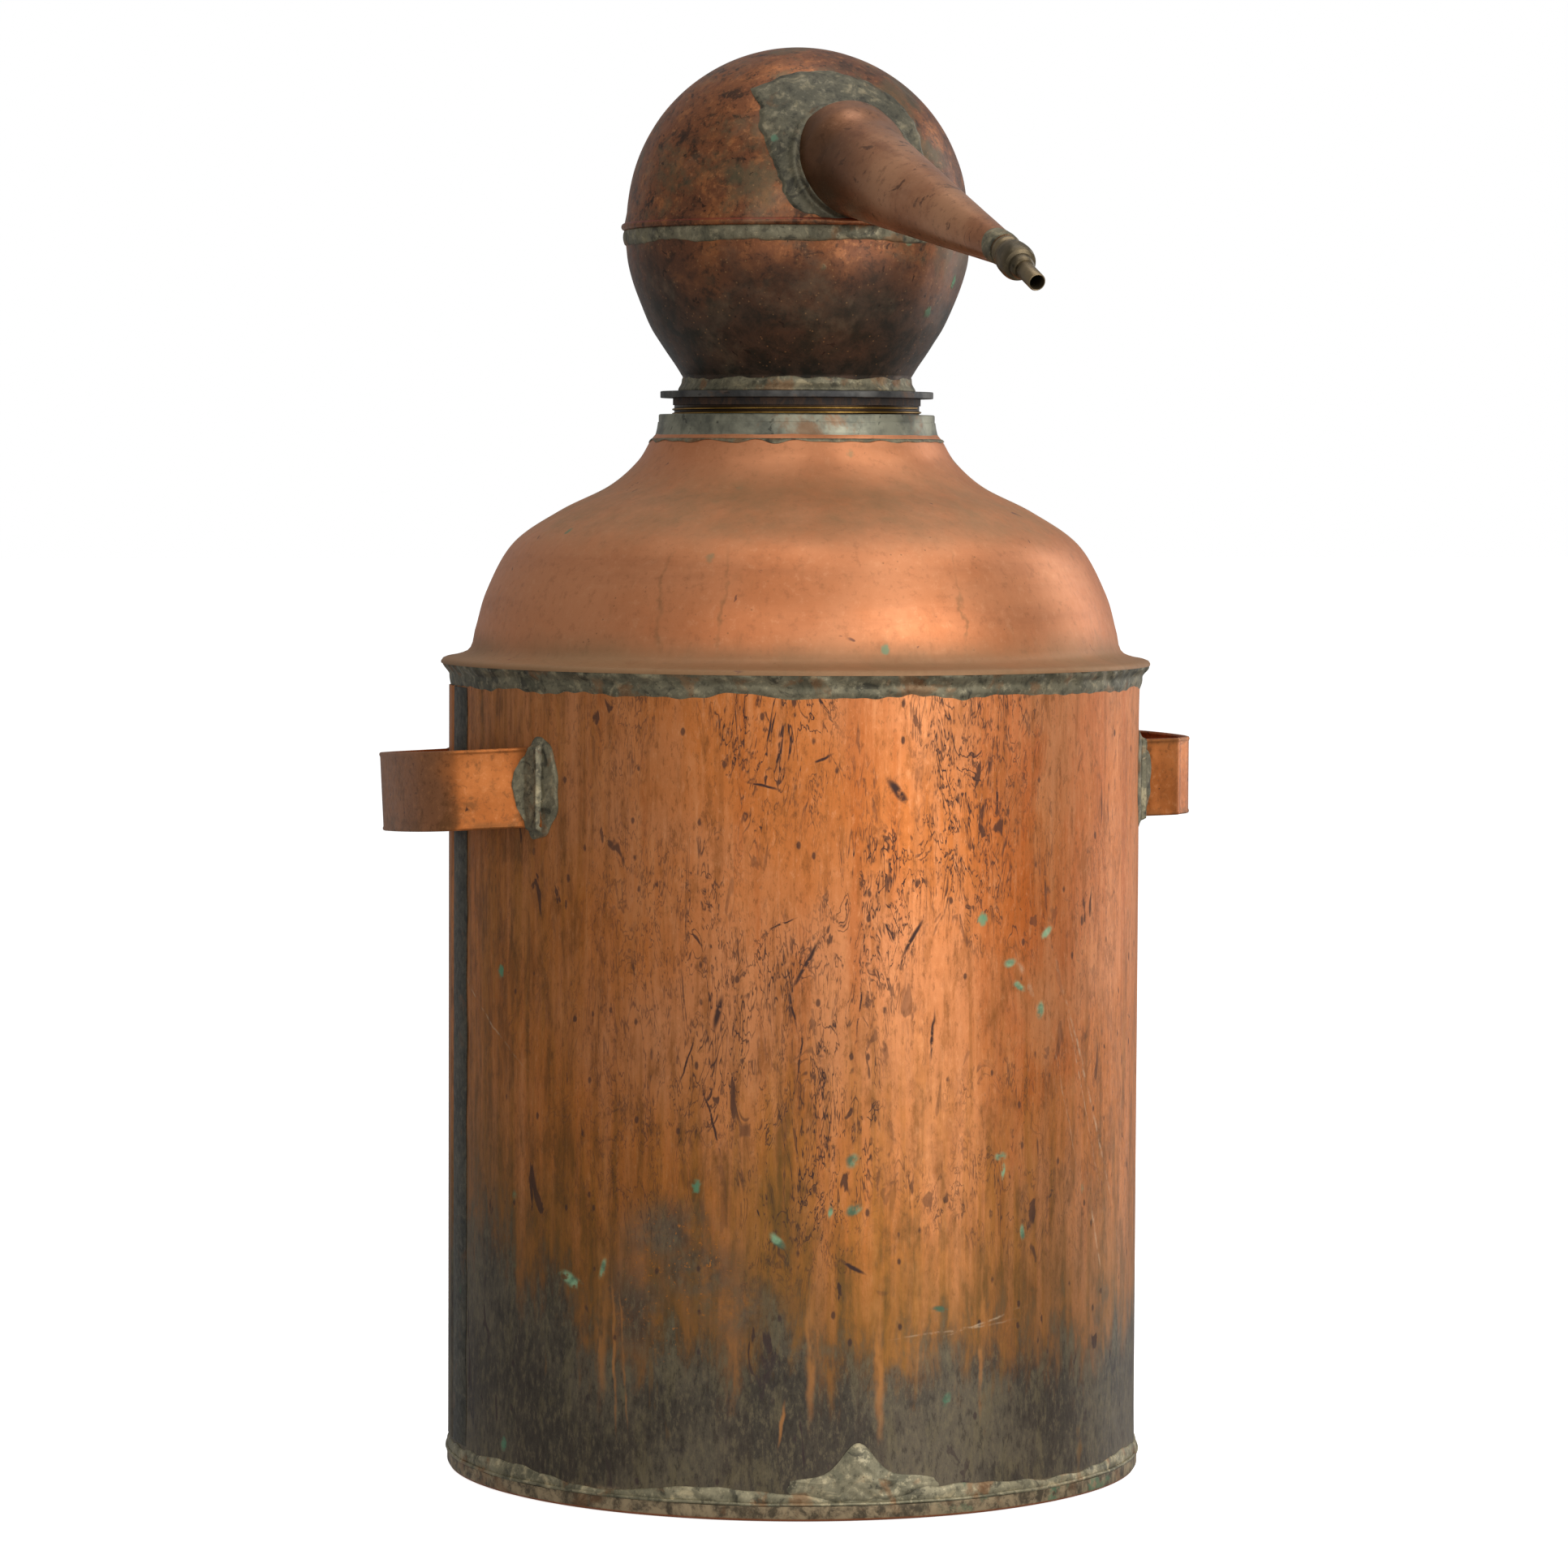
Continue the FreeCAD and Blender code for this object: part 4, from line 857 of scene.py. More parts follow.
# ---------------------------------------------------------------- pot
def build_pot():
    dice = np.random.default_rng(5)
    dents = [(dice.uniform(0, TAU), dice.uniform(60, 430), dice.uniform(12, 34)) for _ in range(26)]

    def wall_shape(angle, r, z):
        """Planished sheet: faint vertical waves and shallow dents, never proud of the design's wall."""
        wave = ripple(angle, z, 3, 12, 900.0) * 0.28 + ripple(angle, z, 4, 46, 260.0) * 0.07
        sunk = np.zeros_like(r)
        for turn, middle, size in dents:
            side = (np.angle(np.exp(1j * (angle - turn)))) * POT_R
            sunk = sunk + 0.35 * np.exp(-(side**2 + ((z - middle) / 1.3) ** 2) / size**2)
        inside = smooth(8, 40, z) * smooth(FLANGE_Z, 440, z)
        return r + (wave - 0.3 - sunk) * inside, z

    outline = [(POT_R, z) for z in np.linspace(3, FLANGE_Z + 1, 110)]
    outline += [(POT_R - SHEET, z) for z in np.linspace(FLANGE_Z + 1, 3, 110)]
    lathe("pot_wall", outline, 540, "pot", "copper_pot", wall_shape)

    # the foot: a pan whose rim stands round the wall, with its bead
    low = [(0.5, 0.1), (120.0, 0.1), (190.0, 0.1), (198.0, 0.2), (200.6, 1.0), (RIM_R, 2.6), (RIM_R, RIM_TOP)]
    up = [(RIM_R - 1.4, RIM_TOP), (RIM_R - 1.4, 3.4), (198.0, 1.7), (190.0, 1.6), (120.0, 1.6), (0.5, 1.6)]

    def pan_shape(angle, r, z):
        dent = np.maximum(ripple(angle, z, 9, 18, 60.0), 0) * 0.4 * smooth(195, 200, r)
        return r - dent, z

    lathe("pot_bottom", low + up, 360, "pot", "copper_pot", pan_shape)

    # the shoulder: spun dome, with a foot turned out over the wall's edge
    dome = curve_through([(186.3, 485.0), *DOME[1:], (NECK_R + 1.6, 600.5), (NECK_R, 604.0)], 60)
    inner = offset_inward(dome, SHEET)
    foot = [
        (FLANGE_R, FLANGE_Z - 1.3), (FLANGE_R, FLANGE_Z - 0.3), (FLANGE_R - 1.0, FLANGE_Z + 1.1),
        (202.8, FLANGE_Z + 1.9),
    ]
    foot += [
        (198.5, FLANGE_Z + 2.6), (193.9, FLANGE_Z + 3.9), (190.6, FLANGE_Z + 5.3), (188.6, FLANGE_Z + 7.4)
    ]
    foot += [(187.4, FLANGE_Z + 10.4)]
    under = [
        (185.0, FLANGE_Z + 8.4), (187.4, FLANGE_Z + 4.6), (193.0, FLANGE_Z + 2.2), (202.4, FLANGE_Z + 0.3)
    ]
    outline = foot + [tuple(p) for p in dome] + [tuple(p) for p in inner[::-1]] + under

    def shoulder_shape(angle, r, z):
        amount = smooth(478, 500, z) * smooth(602, 580, z)
        waves = ripple(angle, z, 21, 9, 120.0) * 0.35 + ripple(angle, z, 22, 30, 40.0) * 0.12
        edge = smooth(FLANGE_Z + 3, FLANGE_Z, z) * smooth(200, 205, r)
        return r + (waves - 0.4) * amount - np.maximum(edge_ripple(angle, 23, 60), 0) * 0.5 * edge, z

    lathe("shoulder", outline, 540, "pot", "copper_shoulder", shoulder_shape)


def build_pot_solder():
    def plain(radius):
        return lambda z: np.full_like(z, radius)

    def under_flange(angle):
        return 454.4 + 1.5 * edge_ripple(angle, 31, 26) + 0.5 * edge_ripple(angle, 32, 110)

    # the band under the flange swells outward to carry it
    angle = np.linspace(0, TAU, 900, endpoint=False)[:, None]
    across = np.linspace(0, 1, 16)[None, :]
    low = under_flange(angle)
    top = np.full_like(low, FLANGE_Z - 1.2)
    z = low + (top - low) * across
    swell = 1.0 * np.sin(np.pi * np.minimum(across * 1.6, 0.5)) + 3.4 * smooth(0.45, 1.0, across)
    lumps = 1 + 0.22 * (ripple(angle, z, 33, 110, 8.0, 22) + ripple(angle, z, 34, 40, 20.0))
    r = POT_R - 0.2 + np.maximum(swell * lumps, 0.05)
    r = np.minimum(r, FLANGE_R - 0.4)
    back = np.full_like(z, POT_R - 0.6)
    rings = np.stack([np.concatenate([r, back[:, ::-1]], 1)] * 2 + [np.concatenate([z, z[:, ::-1]], 1)], -1)
    rings[..., 0] *= np.cos(angle)
    rings[..., 1] *= np.sin(angle)
    points, faces = rings_to_mesh(rings, True)
    add_piece("shoulder_solder", points, faces, "pot", "solder", sharp=60)

    def foot_top(angle):
        return 16.6 + 2.0 * edge_ripple(angle, 41, 12) + 0.9 * edge_ripple(angle, 42, 60)

    def foot_low(angle):
        return np.full_like(angle, RIM_TOP - 0.6)

    solder_band(
        "base_solder", plain(POT_R), foot_low, foot_top, 1.35, 43, segments=900, material="base_metal"
    )

    def bead_shape(angle, r, z):
        return r - np.maximum(ripple(angle, z, 52, 90, 40.0), 0) * 0.3, z + edge_ripple(angle, 51, 40) * 0.2

    box_low, box_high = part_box("base_rim_bead")
    middle_z = 1000 * (box_low.z + box_high.z) / 2
    bead_r = 1000 * (box_high.z - box_low.z) / 2 - 0.12
    middle_r = 1000 * box_high.x - bead_r
    turns = np.linspace(0, TAU, 14, endpoint=False)
    bead = [(middle_r + bead_r * math.cos(t), middle_z + bead_r * math.sin(t)) for t in turns]
    lathe("base_rim_bead", bead, 720, "pot", "base_metal", bead_shape, slot="copper_pot")

    # the repair: a trowelled lump over the foot of the wall
    def repair_edge(bearing):
        wobble = 1 + 0.05 * edge_ripple(bearing, 61, 9)
        u = 43.0 * np.sign(np.cos(bearing)) * np.abs(np.cos(bearing)) ** 0.8 * wobble
        peak = 6.0 * np.sqrt(np.maximum(1 - (u / 46.0) ** 2, 0)) + 18.0 * np.exp(-(((u + 3.0) / 12.0) ** 2))
        v = np.where(np.sin(bearing) > 0, peak * smooth(0.0, 0.25, np.sin(bearing)), 12.0 * np.sin(bearing))
        return u, v * wobble

    def repair_height(u, v, share):
        lumps = 0.5 * ripple(u / 24, v, 62, 8, 12.0) + 0.4 * ripple(u / 9, v, 63, 8, 6.0)
        return np.maximum(smooth(1.0, 0.55, share) * (1.9 + 0.6 * lumps), 0.02) + 0.02 * (1 - share)

    wall_patch("base_repair_patch", 261.0, 20.0, repair_edge, repair_height, "repair_solder")


def build_handles():
    """Bent straps with rolled edges. The left one droops, and its rear foot is lower than its front one."""
    side_profile = [
        (22.5, 0.3), (22.3, 0.9), (21.6, 1.3), (20.8, 1.25), (20.2, 0.95), (19.6, 0.85), (10.0, 0.85)
    ]
    rise = [height for height, _ in side_profile] + [0.0] + [-height for height, _ in side_profile[::-1]]
    half = [width for _, width in side_profile] + [0.85] + [width for _, width in side_profile[::-1]]
    rise, half = np.array(rise), np.array(half)
    foot = (POT_R * math.cos(math.radians(LEG_DEG)), POT_R * math.sin(math.radians(LEG_DEG)))
    for name, reach, droop_deg, tilt_deg, turned, seed in (
        ("handle_left", 242.0, 2.0, 3.0, True, 201), ("handle_right", 235.5, 0.0, 0.0, False, 211),
    ):
        tab = [math.radians(degrees) for degrees in (TAB_DEG, 23.6, 22.6, 21.8)]
        on_wall = [(TAB_R * math.cos(t), TAB_R * math.sin(t)) for t in tab]
        leg = [(191.8, 70.2), (203.0, 67.2), (214.0, 63.6), (reach - 17.5, 59.0), (reach - 9.0, 50.5)]
        leg += [(reach - 4.2, 38.0), (reach - 1.9, 20.0)]
        one_side = on_wall + leg
        plan = curve_through(one_side + [(reach - 1.0, 0.0)] + [(x, -y) for x, y in one_side[::-1]], 220)
        along = np.gradient(plan, axis=0)
        along /= np.linalg.norm(along, axis=1)[:, None]
        out = np.stack([-along[:, 1], along[:, 0]], -1)
        wave = 0.25 * edge_ripple(np.linspace(0, 3, 220)[:, None], seed, 9)
        sides = []
        for sign in (1, -1):
            shift = sign * half[None, :] + wave
            x = plan[:, :1] + out[:, :1] * shift
            y = plan[:, 1:] + out[:, 1:] * shift
            z = np.broadcast_to(rise[None, :], x.shape)
            stacked = np.stack([x, y, z], -1)
            sides.append(stacked if sign > 0 else stacked[:, ::-1])
        rings = np.concatenate(sides, 1)
        droop = Matrix.Rotation(math.radians(droop_deg), 3, "Y")
        tilt = Matrix.Rotation(math.radians(tilt_deg), 3, "X")
        first = np.array([foot[0], 0.0, 0.0])
        second = np.array([foot[0], foot[1], 0.0])
        rings = (rings - first) @ np.array(droop).T + first
        rings = (rings - second) @ np.array(tilt).T + second
        rings[..., 2] += HANDLE_Z
        if turned:
            rings[..., :2] *= -1
        points, faces = rings_to_mesh(rings, False)
        add_piece(name, points, faces, "pot", "copper_handle")


def build_handle_solder():
    """Leaves of solder over the handles' feet. Each covers a strap's tab and steps down past its end."""
    places = [
        ("handle_left_front_solder", 180.0 + PATCH_DEG, HANDLE_Z, 1),
        ("handle_left_rear_solder", 180.0 - PATCH_DEG, HANDLE_Z - LEFT_REAR_DROP, -1),
        ("handle_right_front_solder", -PATCH_DEG, HANDLE_Z, -1),
        ("handle_right_rear_solder", PATCH_DEG, HANDLE_Z, 1),
    ]
    for number, (name, turn_deg, middle_z, away) in enumerate(places):

        def leaf_edge(bearing, seed=180 + number):
            wobble = 1 + 0.06 * edge_ripple(bearing, seed, 9)
            u = 15.3 * np.sign(np.cos(bearing)) * np.abs(np.cos(bearing)) ** 0.8 * wobble
            v = 28.0 * np.sign(np.sin(bearing)) * np.abs(np.sin(bearing)) ** 1.1 * wobble
            return u, v

        def leaf_height(u, v, share, away=away, seed=190 + number):
            lumps = 0.5 * ripple(u / 16, v, seed, 8, 14.0) + 0.35 * ripple(u / 6, v, seed + 7, 8, 6.0)
            along = away * u
            on_tab = smooth(3.2, 1.8, along) * smooth(24.4, 22.6, np.abs(v))
            leg = np.maximum(-8.4 - along, 0.0)
            raised = 2.6 + 0.75 * leg + 0.5 * np.exp(-(((along - 1.6) / 1.0) ** 2))
            return np.maximum(smooth(1.0, 0.86, share) * (1.1 + 0.45 * lumps + on_tab * raised), 0.03)

        wall_patch(name, turn_deg, middle_z, leaf_edge, leaf_height)


def build_side_seam():
    """The lap down the wall's left side, and the run of solder that fills its step."""

    def strip(name, from_deg, to_deg, thick, material, slot, seed, wander):
        z = np.linspace(SEAM_LOW_Z, SEAM_TOP_Z, 260)[:, None]
        across = np.linspace(0, 1, 9)[None, :]
        left = math.radians(from_deg) + wander / POT_R * edge_ripple(z / 30, seed, 9)
        right = math.radians(to_deg) + wander / POT_R * edge_ripple(z / 34, seed + 1, 9)
        angle = left + (right - left) * across
        form = np.sin(np.pi * across) ** 0.5 if wander else smooth(0, 0.1, across) * smooth(1.0, 0.9, across)
        lumps = 1 + 0.3 * ripple(z / 9, across * 20, seed + 2, 9, 20.0) if wander else 1.0
        outer = POT_R + np.maximum(thick * form * lumps, 0.02) + 0 * angle
        inner = np.full_like(outer, POT_R - 0.6)
        r = np.concatenate([outer, inner[:, ::-1]], 1)
        a = np.concatenate([angle, angle[:, ::-1]], 1)
        rings = np.stack([r * np.cos(a), r * np.sin(a), np.broadcast_to(z, r.shape)], -1)
        points, faces = rings_to_mesh(rings, False)
        add_piece(name, points, faces, "pot", material, slot=slot, sharp=50)

    strip("side_seam", 163.9, 171.4, 1.05, "copper_pot", "copper_pot", 71, 0.0)
    strip("side_seam_solder", 171.1, 180.4, 0.78, "seam_solder", "solder", 75, 0.7)


# ---------------------------------------------------------------- collar and head
def build_collar():
    skirt = [
        (79.9, COLLAR_Z - 8), (79.9, SKIRT_TOP), (80.4, SKIRT_TOP), (80.9, 602.5), (81.5, 599.8),
        (83.0, SKIRT_FOOT),
    ]
    skirt += [(81.0, SKIRT_FOOT)]

    def skirt_shape(angle, r, z):
        out = edge_ripple(angle, 81, 14)
        return r - np.maximum(out, 0) * 0.3 * smooth(603, 597, z), z

    lathe("collar_skirt", rounded(skirt, 0.3), 480, "pot", "tinned_brass", skirt_shape)

    solder_low = 1000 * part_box("collar_solder")[0].z
    dome = curve_through([*DOME[3:], (NECK_R + 1.6, 600.5), (NECK_R, 604.0)], 200)
    order = np.argsort(dome[:, 1])
    dome_z, dome_r = dome[order, 1], dome[order, 0]

    def on_dome(z):
        return np.interp(z, dome_z, dome_r) - 0.3

    def low_edge(angle):
        return solder_low + 2.2 + 1.0 * edge_ripple(angle, 84, 30)

    def top_edge(angle):
        return np.full_like(angle, SKIRT_FOOT + 0.8)

    solder_band("collar_solder", on_dome, low_edge, top_edge, 0.9, 85)


def build_head_neck():
    plate = [
        (HEAD_NECK_R - 0.6, PLATE_LOW), (PLATE_R, PLATE_LOW), (PLATE_R, PLATE_TOP),
        (HEAD_NECK_R - 0.6, PLATE_TOP),
    ]

    def plate_shape(angle, r, z):
        nick = np.maximum(ripple(angle, z, 91, 50, 30.0) - 0.7, 0) * 0.6
        return r - nick * smooth(76, 78.5, r), z

    lathe("neck_plate", rounded(plate, 0.55), 480, "head", "dark_plate", plate_shape)

    def neck_r(z):
        return 66.9 + 2.4 * smooth(629.0, PLATE_TOP, z)

    def top_edge(angle):
        return 631.4 + 1.1 * edge_ripple(angle, 94, 16) + 0.4 * edge_ripple(angle, 95, 50)

    def low_edge(angle):
        return np.full_like(angle, PLATE_TOP - 0.1)

    solder_band("neck_solder", lambda z: neck_r(z) - 0.9, low_edge, top_edge, 0.75, 93, "head", 540)


def head_bump(angle, z, seed):
    return ripple(angle, z, seed, 9, 60.0) * 0.3 + ripple(angle, z, seed + 1, 34, 24.0) * 0.1 - 0.3


def build_head():
    bowl = curve_through(BOWL, 46)
    inner = offset_inward(bowl, HEAD_SHEET)
    neck_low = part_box("head_lower_bowl")[0].z * 1000
    outline = [(HEAD_NECK_R, neck_low)] + [tuple(p) for p in bowl] + [tuple(p) for p in inner[::-1]]
    outline += [(HEAD_NECK_R - HEAD_SHEET, neck_low)]

    def bowl_shape(angle, r, z):
        return r + head_bump(angle, z, 101) * smooth(640, 655, z) * smooth(714, 704, z), z

    lathe("head_lower_bowl", outline, 480, "head", "copper_head", bowl_shape)

    # the upper bowl: a globe with a rolled bead at its edge, pulled in by a notch at the right
    rise = np.linspace(math.radians(-1.0), math.radians(89.6), 90)
    outer = [(GLOBE_R * math.cos(t), GLOBE_Z + GLOBE_R * math.sin(t)) for t in rise]
    inner_r = GLOBE_R - HEAD_SHEET
    inner = [(inner_r * math.cos(t), GLOBE_Z + inner_r * math.sin(t)) for t in rise[::-1]]
    bead = [(99.9 + 2.1 * math.cos(t), BEAD_Z + 2.1 * math.sin(t)) for t in np.linspace(-2.3, 1.5, 12)]
    outline = [(97.8, BEAD_Z - 2.0)] + bead + outer[3:] + inner

    def globe_shape(angle, r, z):
        amount = smooth(724, 738, z)
        notch = np.exp(
            -((np.angle(np.exp(1j * (angle - math.radians(-38.0)))) * 60) ** 2 + (z - 797.0) ** 2) / 60.0
        )
        wave = head_bump(angle, z, 111) * smooth(2.0, 30.0, r)
        bead_wave = edge_ripple(angle, 113, 40) * 0.14 * smooth(722, 720, z)
        return r + (wave - 1.0 * notch) * amount + bead_wave - 0.1, z

    lathe("head_upper_bowl", outline, 480, "head", "copper_head", globe_shape)

    def belt_low(angle):
        return 707.6 + 1.2 * edge_ripple(angle, 121, 16) + 0.35 * edge_ripple(angle, 122, 60)

    def belt_top(angle):
        return np.full_like(angle, BEAD_Z - 1.4)

    solder_band("belt_solder", lambda z: 99.2 + 0 * z, belt_low, belt_top, 1.5, 123, "head")


# ---------------------------------------------------------------- spout
SPOUT_DIR = np.array([0.0, -math.cos(SPOUT_FALL), -math.sin(SPOUT_FALL)])
SPOUT_UP = np.array([0.0, -math.sin(SPOUT_FALL), math.cos(SPOUT_FALL)])
SPOUT_SIDE = np.array([1.0, 0.0, 0.0])
SPOUT_START = np.array([0.0, 0.0, SPOUT_Z])


# How far the solder is spread over the globe from the spout's root: degrees round it, and millimetres
ROOT_SOLDER_REACH = [
    (0, 46), (18, 50), (40, 57), (60, 61), (90, 66), (108, 69), (124, 74), (132, 80), (140, 66), (158, 55),
    (178, 48), (194, 46), (208, 46), (222, 44), (236, 40), (270, 34), (300, 35), (335, 42),
]


def cone_r(along):
    return CONE_END_R + (CONE_END - along) * CONE_TAPER


def tube_rings(along, radius, turn, start=SPOUT_START, axis=SPOUT_DIR, up=SPOUT_UP):
    """Places round an axis, one ring for each step along it. radius has a column for each turn."""
    along = np.asarray(along, float).reshape(-1, 1)
    around = SPOUT_SIDE[None, None, :] * np.cos(turn)[..., None] + up[None, None, :] * np.sin(turn)[..., None]
    return start + along[..., None] * axis + radius[..., None] * around


def build_spout():
    turn = np.linspace(0, TAU, 140, endpoint=False)[None, :]
    along = np.concatenate([np.linspace(80.0, 120.0, 30), np.linspace(122.0, CONE_END, 130)])[:, None]
    dents = ripple(turn, along, 131, 4, 90.0) * 0.1 + ripple(turn, along, 132, 9, 26.0) * 0.03
    inside = smooth(96, 125, along) * smooth(CONE_END, CONE_END - 12, along)
    flare = 2.6 * smooth(118.0, 92.0, along) ** 1.5
    outer = cone_r(along) + (dents - 0.2) * inside + flare + 0 * turn
    inner = cone_r(along) - HEAD_SHEET + 0 * turn
    rings = np.concatenate([tube_rings(along, outer, turn), tube_rings(along[::-1], inner[::-1], turn)], 0)
    points, faces = rings_to_mesh(rings, True)
    add_piece("spout_cone", points, faces, "head", "copper_spout")

    # the seam: a low lap along the underside
    seam_turn = math.radians(-90.0)
    steps = np.linspace(112.0, CONE_END - 3.0, 150)[:, None]
    across = np.linspace(-1, 1, 7)[None, :]
    half = (3.4 + 0.3 * edge_ripple(steps / 14, 141, 6)) / cone_r(steps)
    form = 0.8 * (1 - across**4)
    spot = seam_turn + half * across
    ring_turn = np.concatenate([spot, spot[:, ::-1]], 1)
    top = cone_r(steps) - 0.1 + np.broadcast_to(form, spot.shape)
    under = np.broadcast_to(cone_r(steps) - 0.8, spot.shape)
    rings = tube_rings(steps, np.concatenate([top, under], 1), ring_turn)
    points, faces = rings_to_mesh(rings, False)
    add_piece("spout_seam", points, faces, "head", "copper_spout")

    # wiped solder round the root, spread over the globe with a raised ridge against the cone
    axis = np.array([0.0, -math.cos(ROOT_RISE), math.sin(ROOT_RISE)])
    up = np.array([0.0, math.sin(ROOT_RISE), math.cos(ROOT_RISE)])
    bearing = np.linspace(0, TAU, 300, endpoint=False)[:, None]
    share = np.linspace(0, 1, 40)[None, :]
    spread_at = np.array(ROOT_SOLDER_REACH)
    reach = np.interp(np.degrees(bearing) % 360, spread_at[:, 0], spread_at[:, 1], period=360)
    reach = reach + 1.2 * edge_ripple(bearing, 151, 12) + 0.9 * edge_ripple(bearing, 152, 40)
    span = ROOT_NEAR + (reach - ROOT_NEAR) * share
    tilt = span / GLOBE_R
    lumps = 0.2 * ripple(bearing, span, 153, 22, 16.0) + 0.14 * ripple(bearing, span, 154, 60, 7.0)
    ridge = np.exp(-(((span - ROOT_RIDGE) / 2.4) ** 2)) * 1.7 + 1.0 * smooth(33.0, 29.5, span)
    thick = (0.8 + 0.35 * lumps) * smooth(1.0, 0.93, share) + ridge * (1 + 0.35 * lumps)
    centre = np.array([0.0, 0.0, GLOBE_Z])
    sideways = SPOUT_SIDE * np.cos(bearing)[..., None] + up * np.sin(bearing)[..., None]
    ways = axis * np.cos(tilt)[..., None] + sideways * np.sin(tilt)[..., None]
    outer = centre + ways * (GLOBE_R + np.maximum(thick, 0.03))[..., None]
    inner = centre + ways * (GLOBE_R - 0.5)
    rings = np.concatenate([outer, inner[:, ::-1]], 1)
    points, faces = rings_to_mesh(rings, True)
    add_piece("spout_root_solder", points, faces, "head", "root_solder", slot="solder", sharp=60)


def build_nozzle():
    droop = SPOUT_FALL + NOZZLE_DROOP
    axis = np.array([0.0, -math.cos(droop), -math.sin(droop)])
    up = np.array([0.0, -math.sin(droop), math.cos(droop)])
    start = SPOUT_START + CONE_END * SPOUT_DIR
    turn = np.linspace(0, TAU, 96, endpoint=False)[None, :]
    swell = [(0, 8.3), (3, 8.7), (5, 8.1), (7, 8.5), (10, 9.5), (15, 9.9), (19.5, 9.7), (21.8, 8.9)]
    neck = np.array([(22.3, 8.0), (22.7, 7.0), (24.6, 6.7), (26.4, 6.6), (27.4, 6.2), (28.4, 5.4)])
    bore = np.array([(28.4, 4.75), (14.0, 4.6), (13.0, 4.4), (0.0, 4.4)])
    profile = np.vstack([curve_through(swell, 40), neck, bore])
    wobble = 0.1 * ripple(turn, profile[:, :1] * 3, 161, 6, 30.0)
    radius = profile[:, 1:] - 0.1 + wobble * (profile[:, 1:] > 5.0)
    points, faces = rings_to_mesh(tube_rings(profile[:, 0], radius, turn, start, axis, up), True)
    add_piece("spout_ferrule", points, faces, "head", "nose_brass")

    outside = [(14.5, 4.6), (28.4, 4.7), (28.8, 4.85), (46.2, 4.85), (46.8, 4.6), (47.0, 4.3)]
    tube = np.array(outside + [(46.8, 4.02), (14.5, 4.02)])
    radius = tube[:, 1:] + 0 * turn
    points, faces = rings_to_mesh(tube_rings(tube[:, 0], radius, turn, start, axis, up), True)
    add_piece("spout_tube", points, faces, "head", "nose_brass")


def build_ferrule_solder():
    """A collar of dark solder wiped over the cone's end."""
    turn = np.linspace(0, TAU, 120, endpoint=False)[None, :]
    share = np.linspace(0, 1, 20)[:, None]
    begin = CONE_END - 12.0 + 1.2 * edge_ripple(turn, 171, 6)
    along = begin + (CONE_END - 0.2 - begin) * share
    lumps = 0.2 * ripple(turn, along, 172, 9, 8.0)
    radius = cone_r(along) + np.maximum(np.sin(np.pi * share * 0.55) * 0.75 * (1 + lumps), 0.02)
    around = SPOUT_SIDE * np.cos(turn)[..., None] + SPOUT_UP * np.sin(turn)[..., None]
    outer = SPOUT_START + along[..., None] * SPOUT_DIR + radius[..., None] * around
    inner = SPOUT_START + along[..., None] * SPOUT_DIR + (cone_r(along) - 0.5)[..., None] * around
    rings = np.concatenate([outer, inner[::-1]], 0)
    points, faces = rings_to_mesh(rings, True)
    add_piece("ferrule_solder", points, faces, "head", "solder", sharp=60)


build_pot()
build_pot_solder()
build_handles()
build_handle_solder()
build_side_seam()
build_collar()
build_head_neck()
build_head()
build_spout()
build_nozzle()
build_ferrule_solder()

# Nodes shown as the CAD frame has them
for node, slot in (
    ("collar_thread_ring", "tinned_brass"),
    ("neck_thread_ring", "thread_brass"),
    ("neck_seal", "seal_leather"),
):
    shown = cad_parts[node]
    shown.data.materials.clear()
    shown.data.materials.append(materials[slot])


# ---------------------------------------------------------------- camera, floor and light
def build_camera():
    turn = math.radians(-20.4)
    pitch = math.radians(3.213)
    roll = math.radians(0.27)
    back = Vector((math.sin(turn), -math.cos(turn), 0.0))
    right = Vector((math.cos(turn), math.sin(turn), 0.0))
    distance = 3.300
    height = 0.5813
    left_shift = 0.006364
    place = back * distance + Vector((0, 0, height)) - right * left_shift
    ahead = -back * math.cos(pitch) - Vector((0, 0, 1)) * math.sin(pitch)
    up = right.cross(ahead)
    side = right * math.cos(roll) + up * math.sin(roll)
    top = up * math.cos(roll) - right * math.sin(roll)
    data = bpy.data.cameras.new("camera")
    data.lens = 130.43
    data.sensor_width = 36.0
    camera = bpy.data.objects.new("camera", data)
    rows = Matrix((side, top, -ahead)).transposed().to_4x4()
    camera.matrix_world = Matrix.Translation(place) @ rows
    bpy.context.scene.collection.objects.link(camera)
    bpy.context.scene.camera = camera
    return back, right


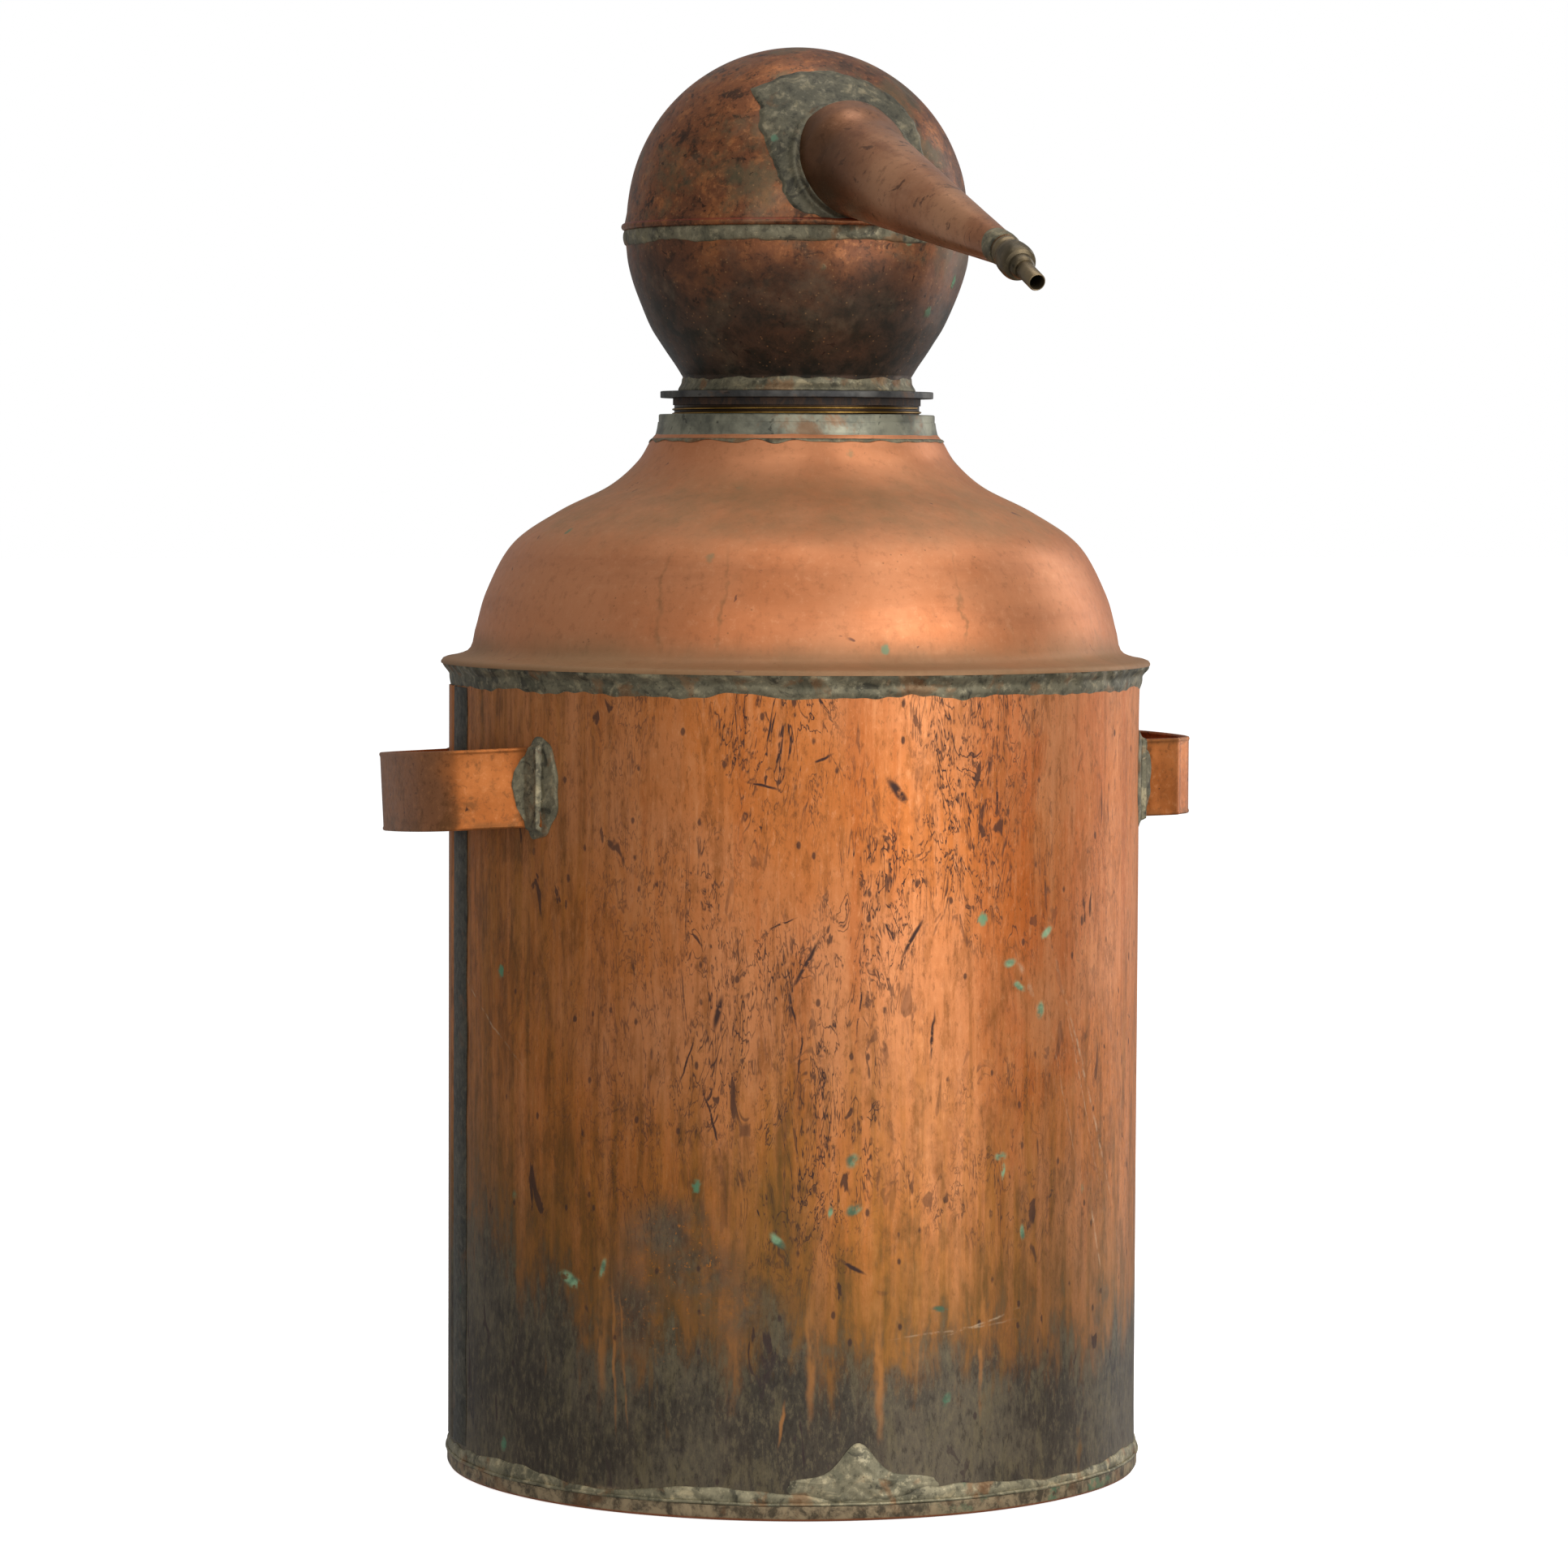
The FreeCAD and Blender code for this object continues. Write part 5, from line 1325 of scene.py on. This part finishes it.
def area_light(name, place, target, size, energy):
    data = bpy.data.lights.new(name, "AREA")
    data.shape = "RECTANGLE"
    data.size, data.size_y = size
    data.energy = energy
    lamp = bpy.data.objects.new(name, data)
    lamp.location = place
    lamp.rotation_euler = (Vector(target) - Vector(place)).to_track_quat("-Z", "Y").to_euler()
    bpy.context.scene.collection.objects.link(lamp)


def build_stage(back, right):
    """A white floor and soft lights. The world looks whiter than it lights, and the floor lights nothing."""
    floor_mesh = bpy.data.meshes.new("floor")
    half = 30.0
    corners = [(-half, -half, 0), (half, -half, 0), (half, half, 0), (-half, half, 0)]
    floor_mesh.from_pydata(corners, [], [(0, 1, 2, 3)])
    floor = bpy.data.objects.new("floor", floor_mesh)
    paper = Shader("white_paper")
    paper.main.inputs["Emission Color"].default_value = (1.0, 1.0, 1.0, 1.0)
    paper.main.inputs["Emission Strength"].default_value = 0.86
    paper.finish((0.9, 0.9, 0.9, 1.0), 0.9, 0.0)
    floor_mesh.materials.append(paper.material)
    bpy.context.scene.collection.objects.link(floor)
    floor.visible_diffuse = False
    floor.visible_glossy = False
    world = bpy.data.worlds.new("studio")
    world.use_nodes = True
    tree = world.node_tree
    sky = tree.nodes["Background"]
    sky.inputs["Color"].default_value = (1.0, 1.0, 1.0, 1.0)
    rays = tree.nodes.new("ShaderNodeLightPath")
    amount = tree.nodes.new("ShaderNodeMapRange")
    amount.inputs["To Min"].default_value = 0.3
    amount.inputs["To Max"].default_value = 1.0
    tree.links.new(rays.outputs["Is Camera Ray"], amount.inputs["Value"])
    tree.links.new(amount.outputs["Result"], sky.inputs["Strength"])
    bpy.context.scene.world = world
    bpy.context.scene.view_settings.view_transform = "Standard"
    up = Vector((0, 0, 1))
    target = (0, 0, 0.42)
    area_light("key", back * 1.85 + right * 1.65 + up * 0.9, target, (1.5, 2.4), 38)
    area_light("fill", back * 2.6 - right * 0.3 + up * 1.2, target, (2.2, 2.2), 18)
    area_light("edge", right * 1.9 - back * 1.3 + up * 0.8, target, (1.0, 2.4), 14)
    area_light("top", up * 2.7 + back * 0.2 + right * 0.5, target, (2.4, 2.4), 28)


back, right = build_camera()
build_stage(back, right)
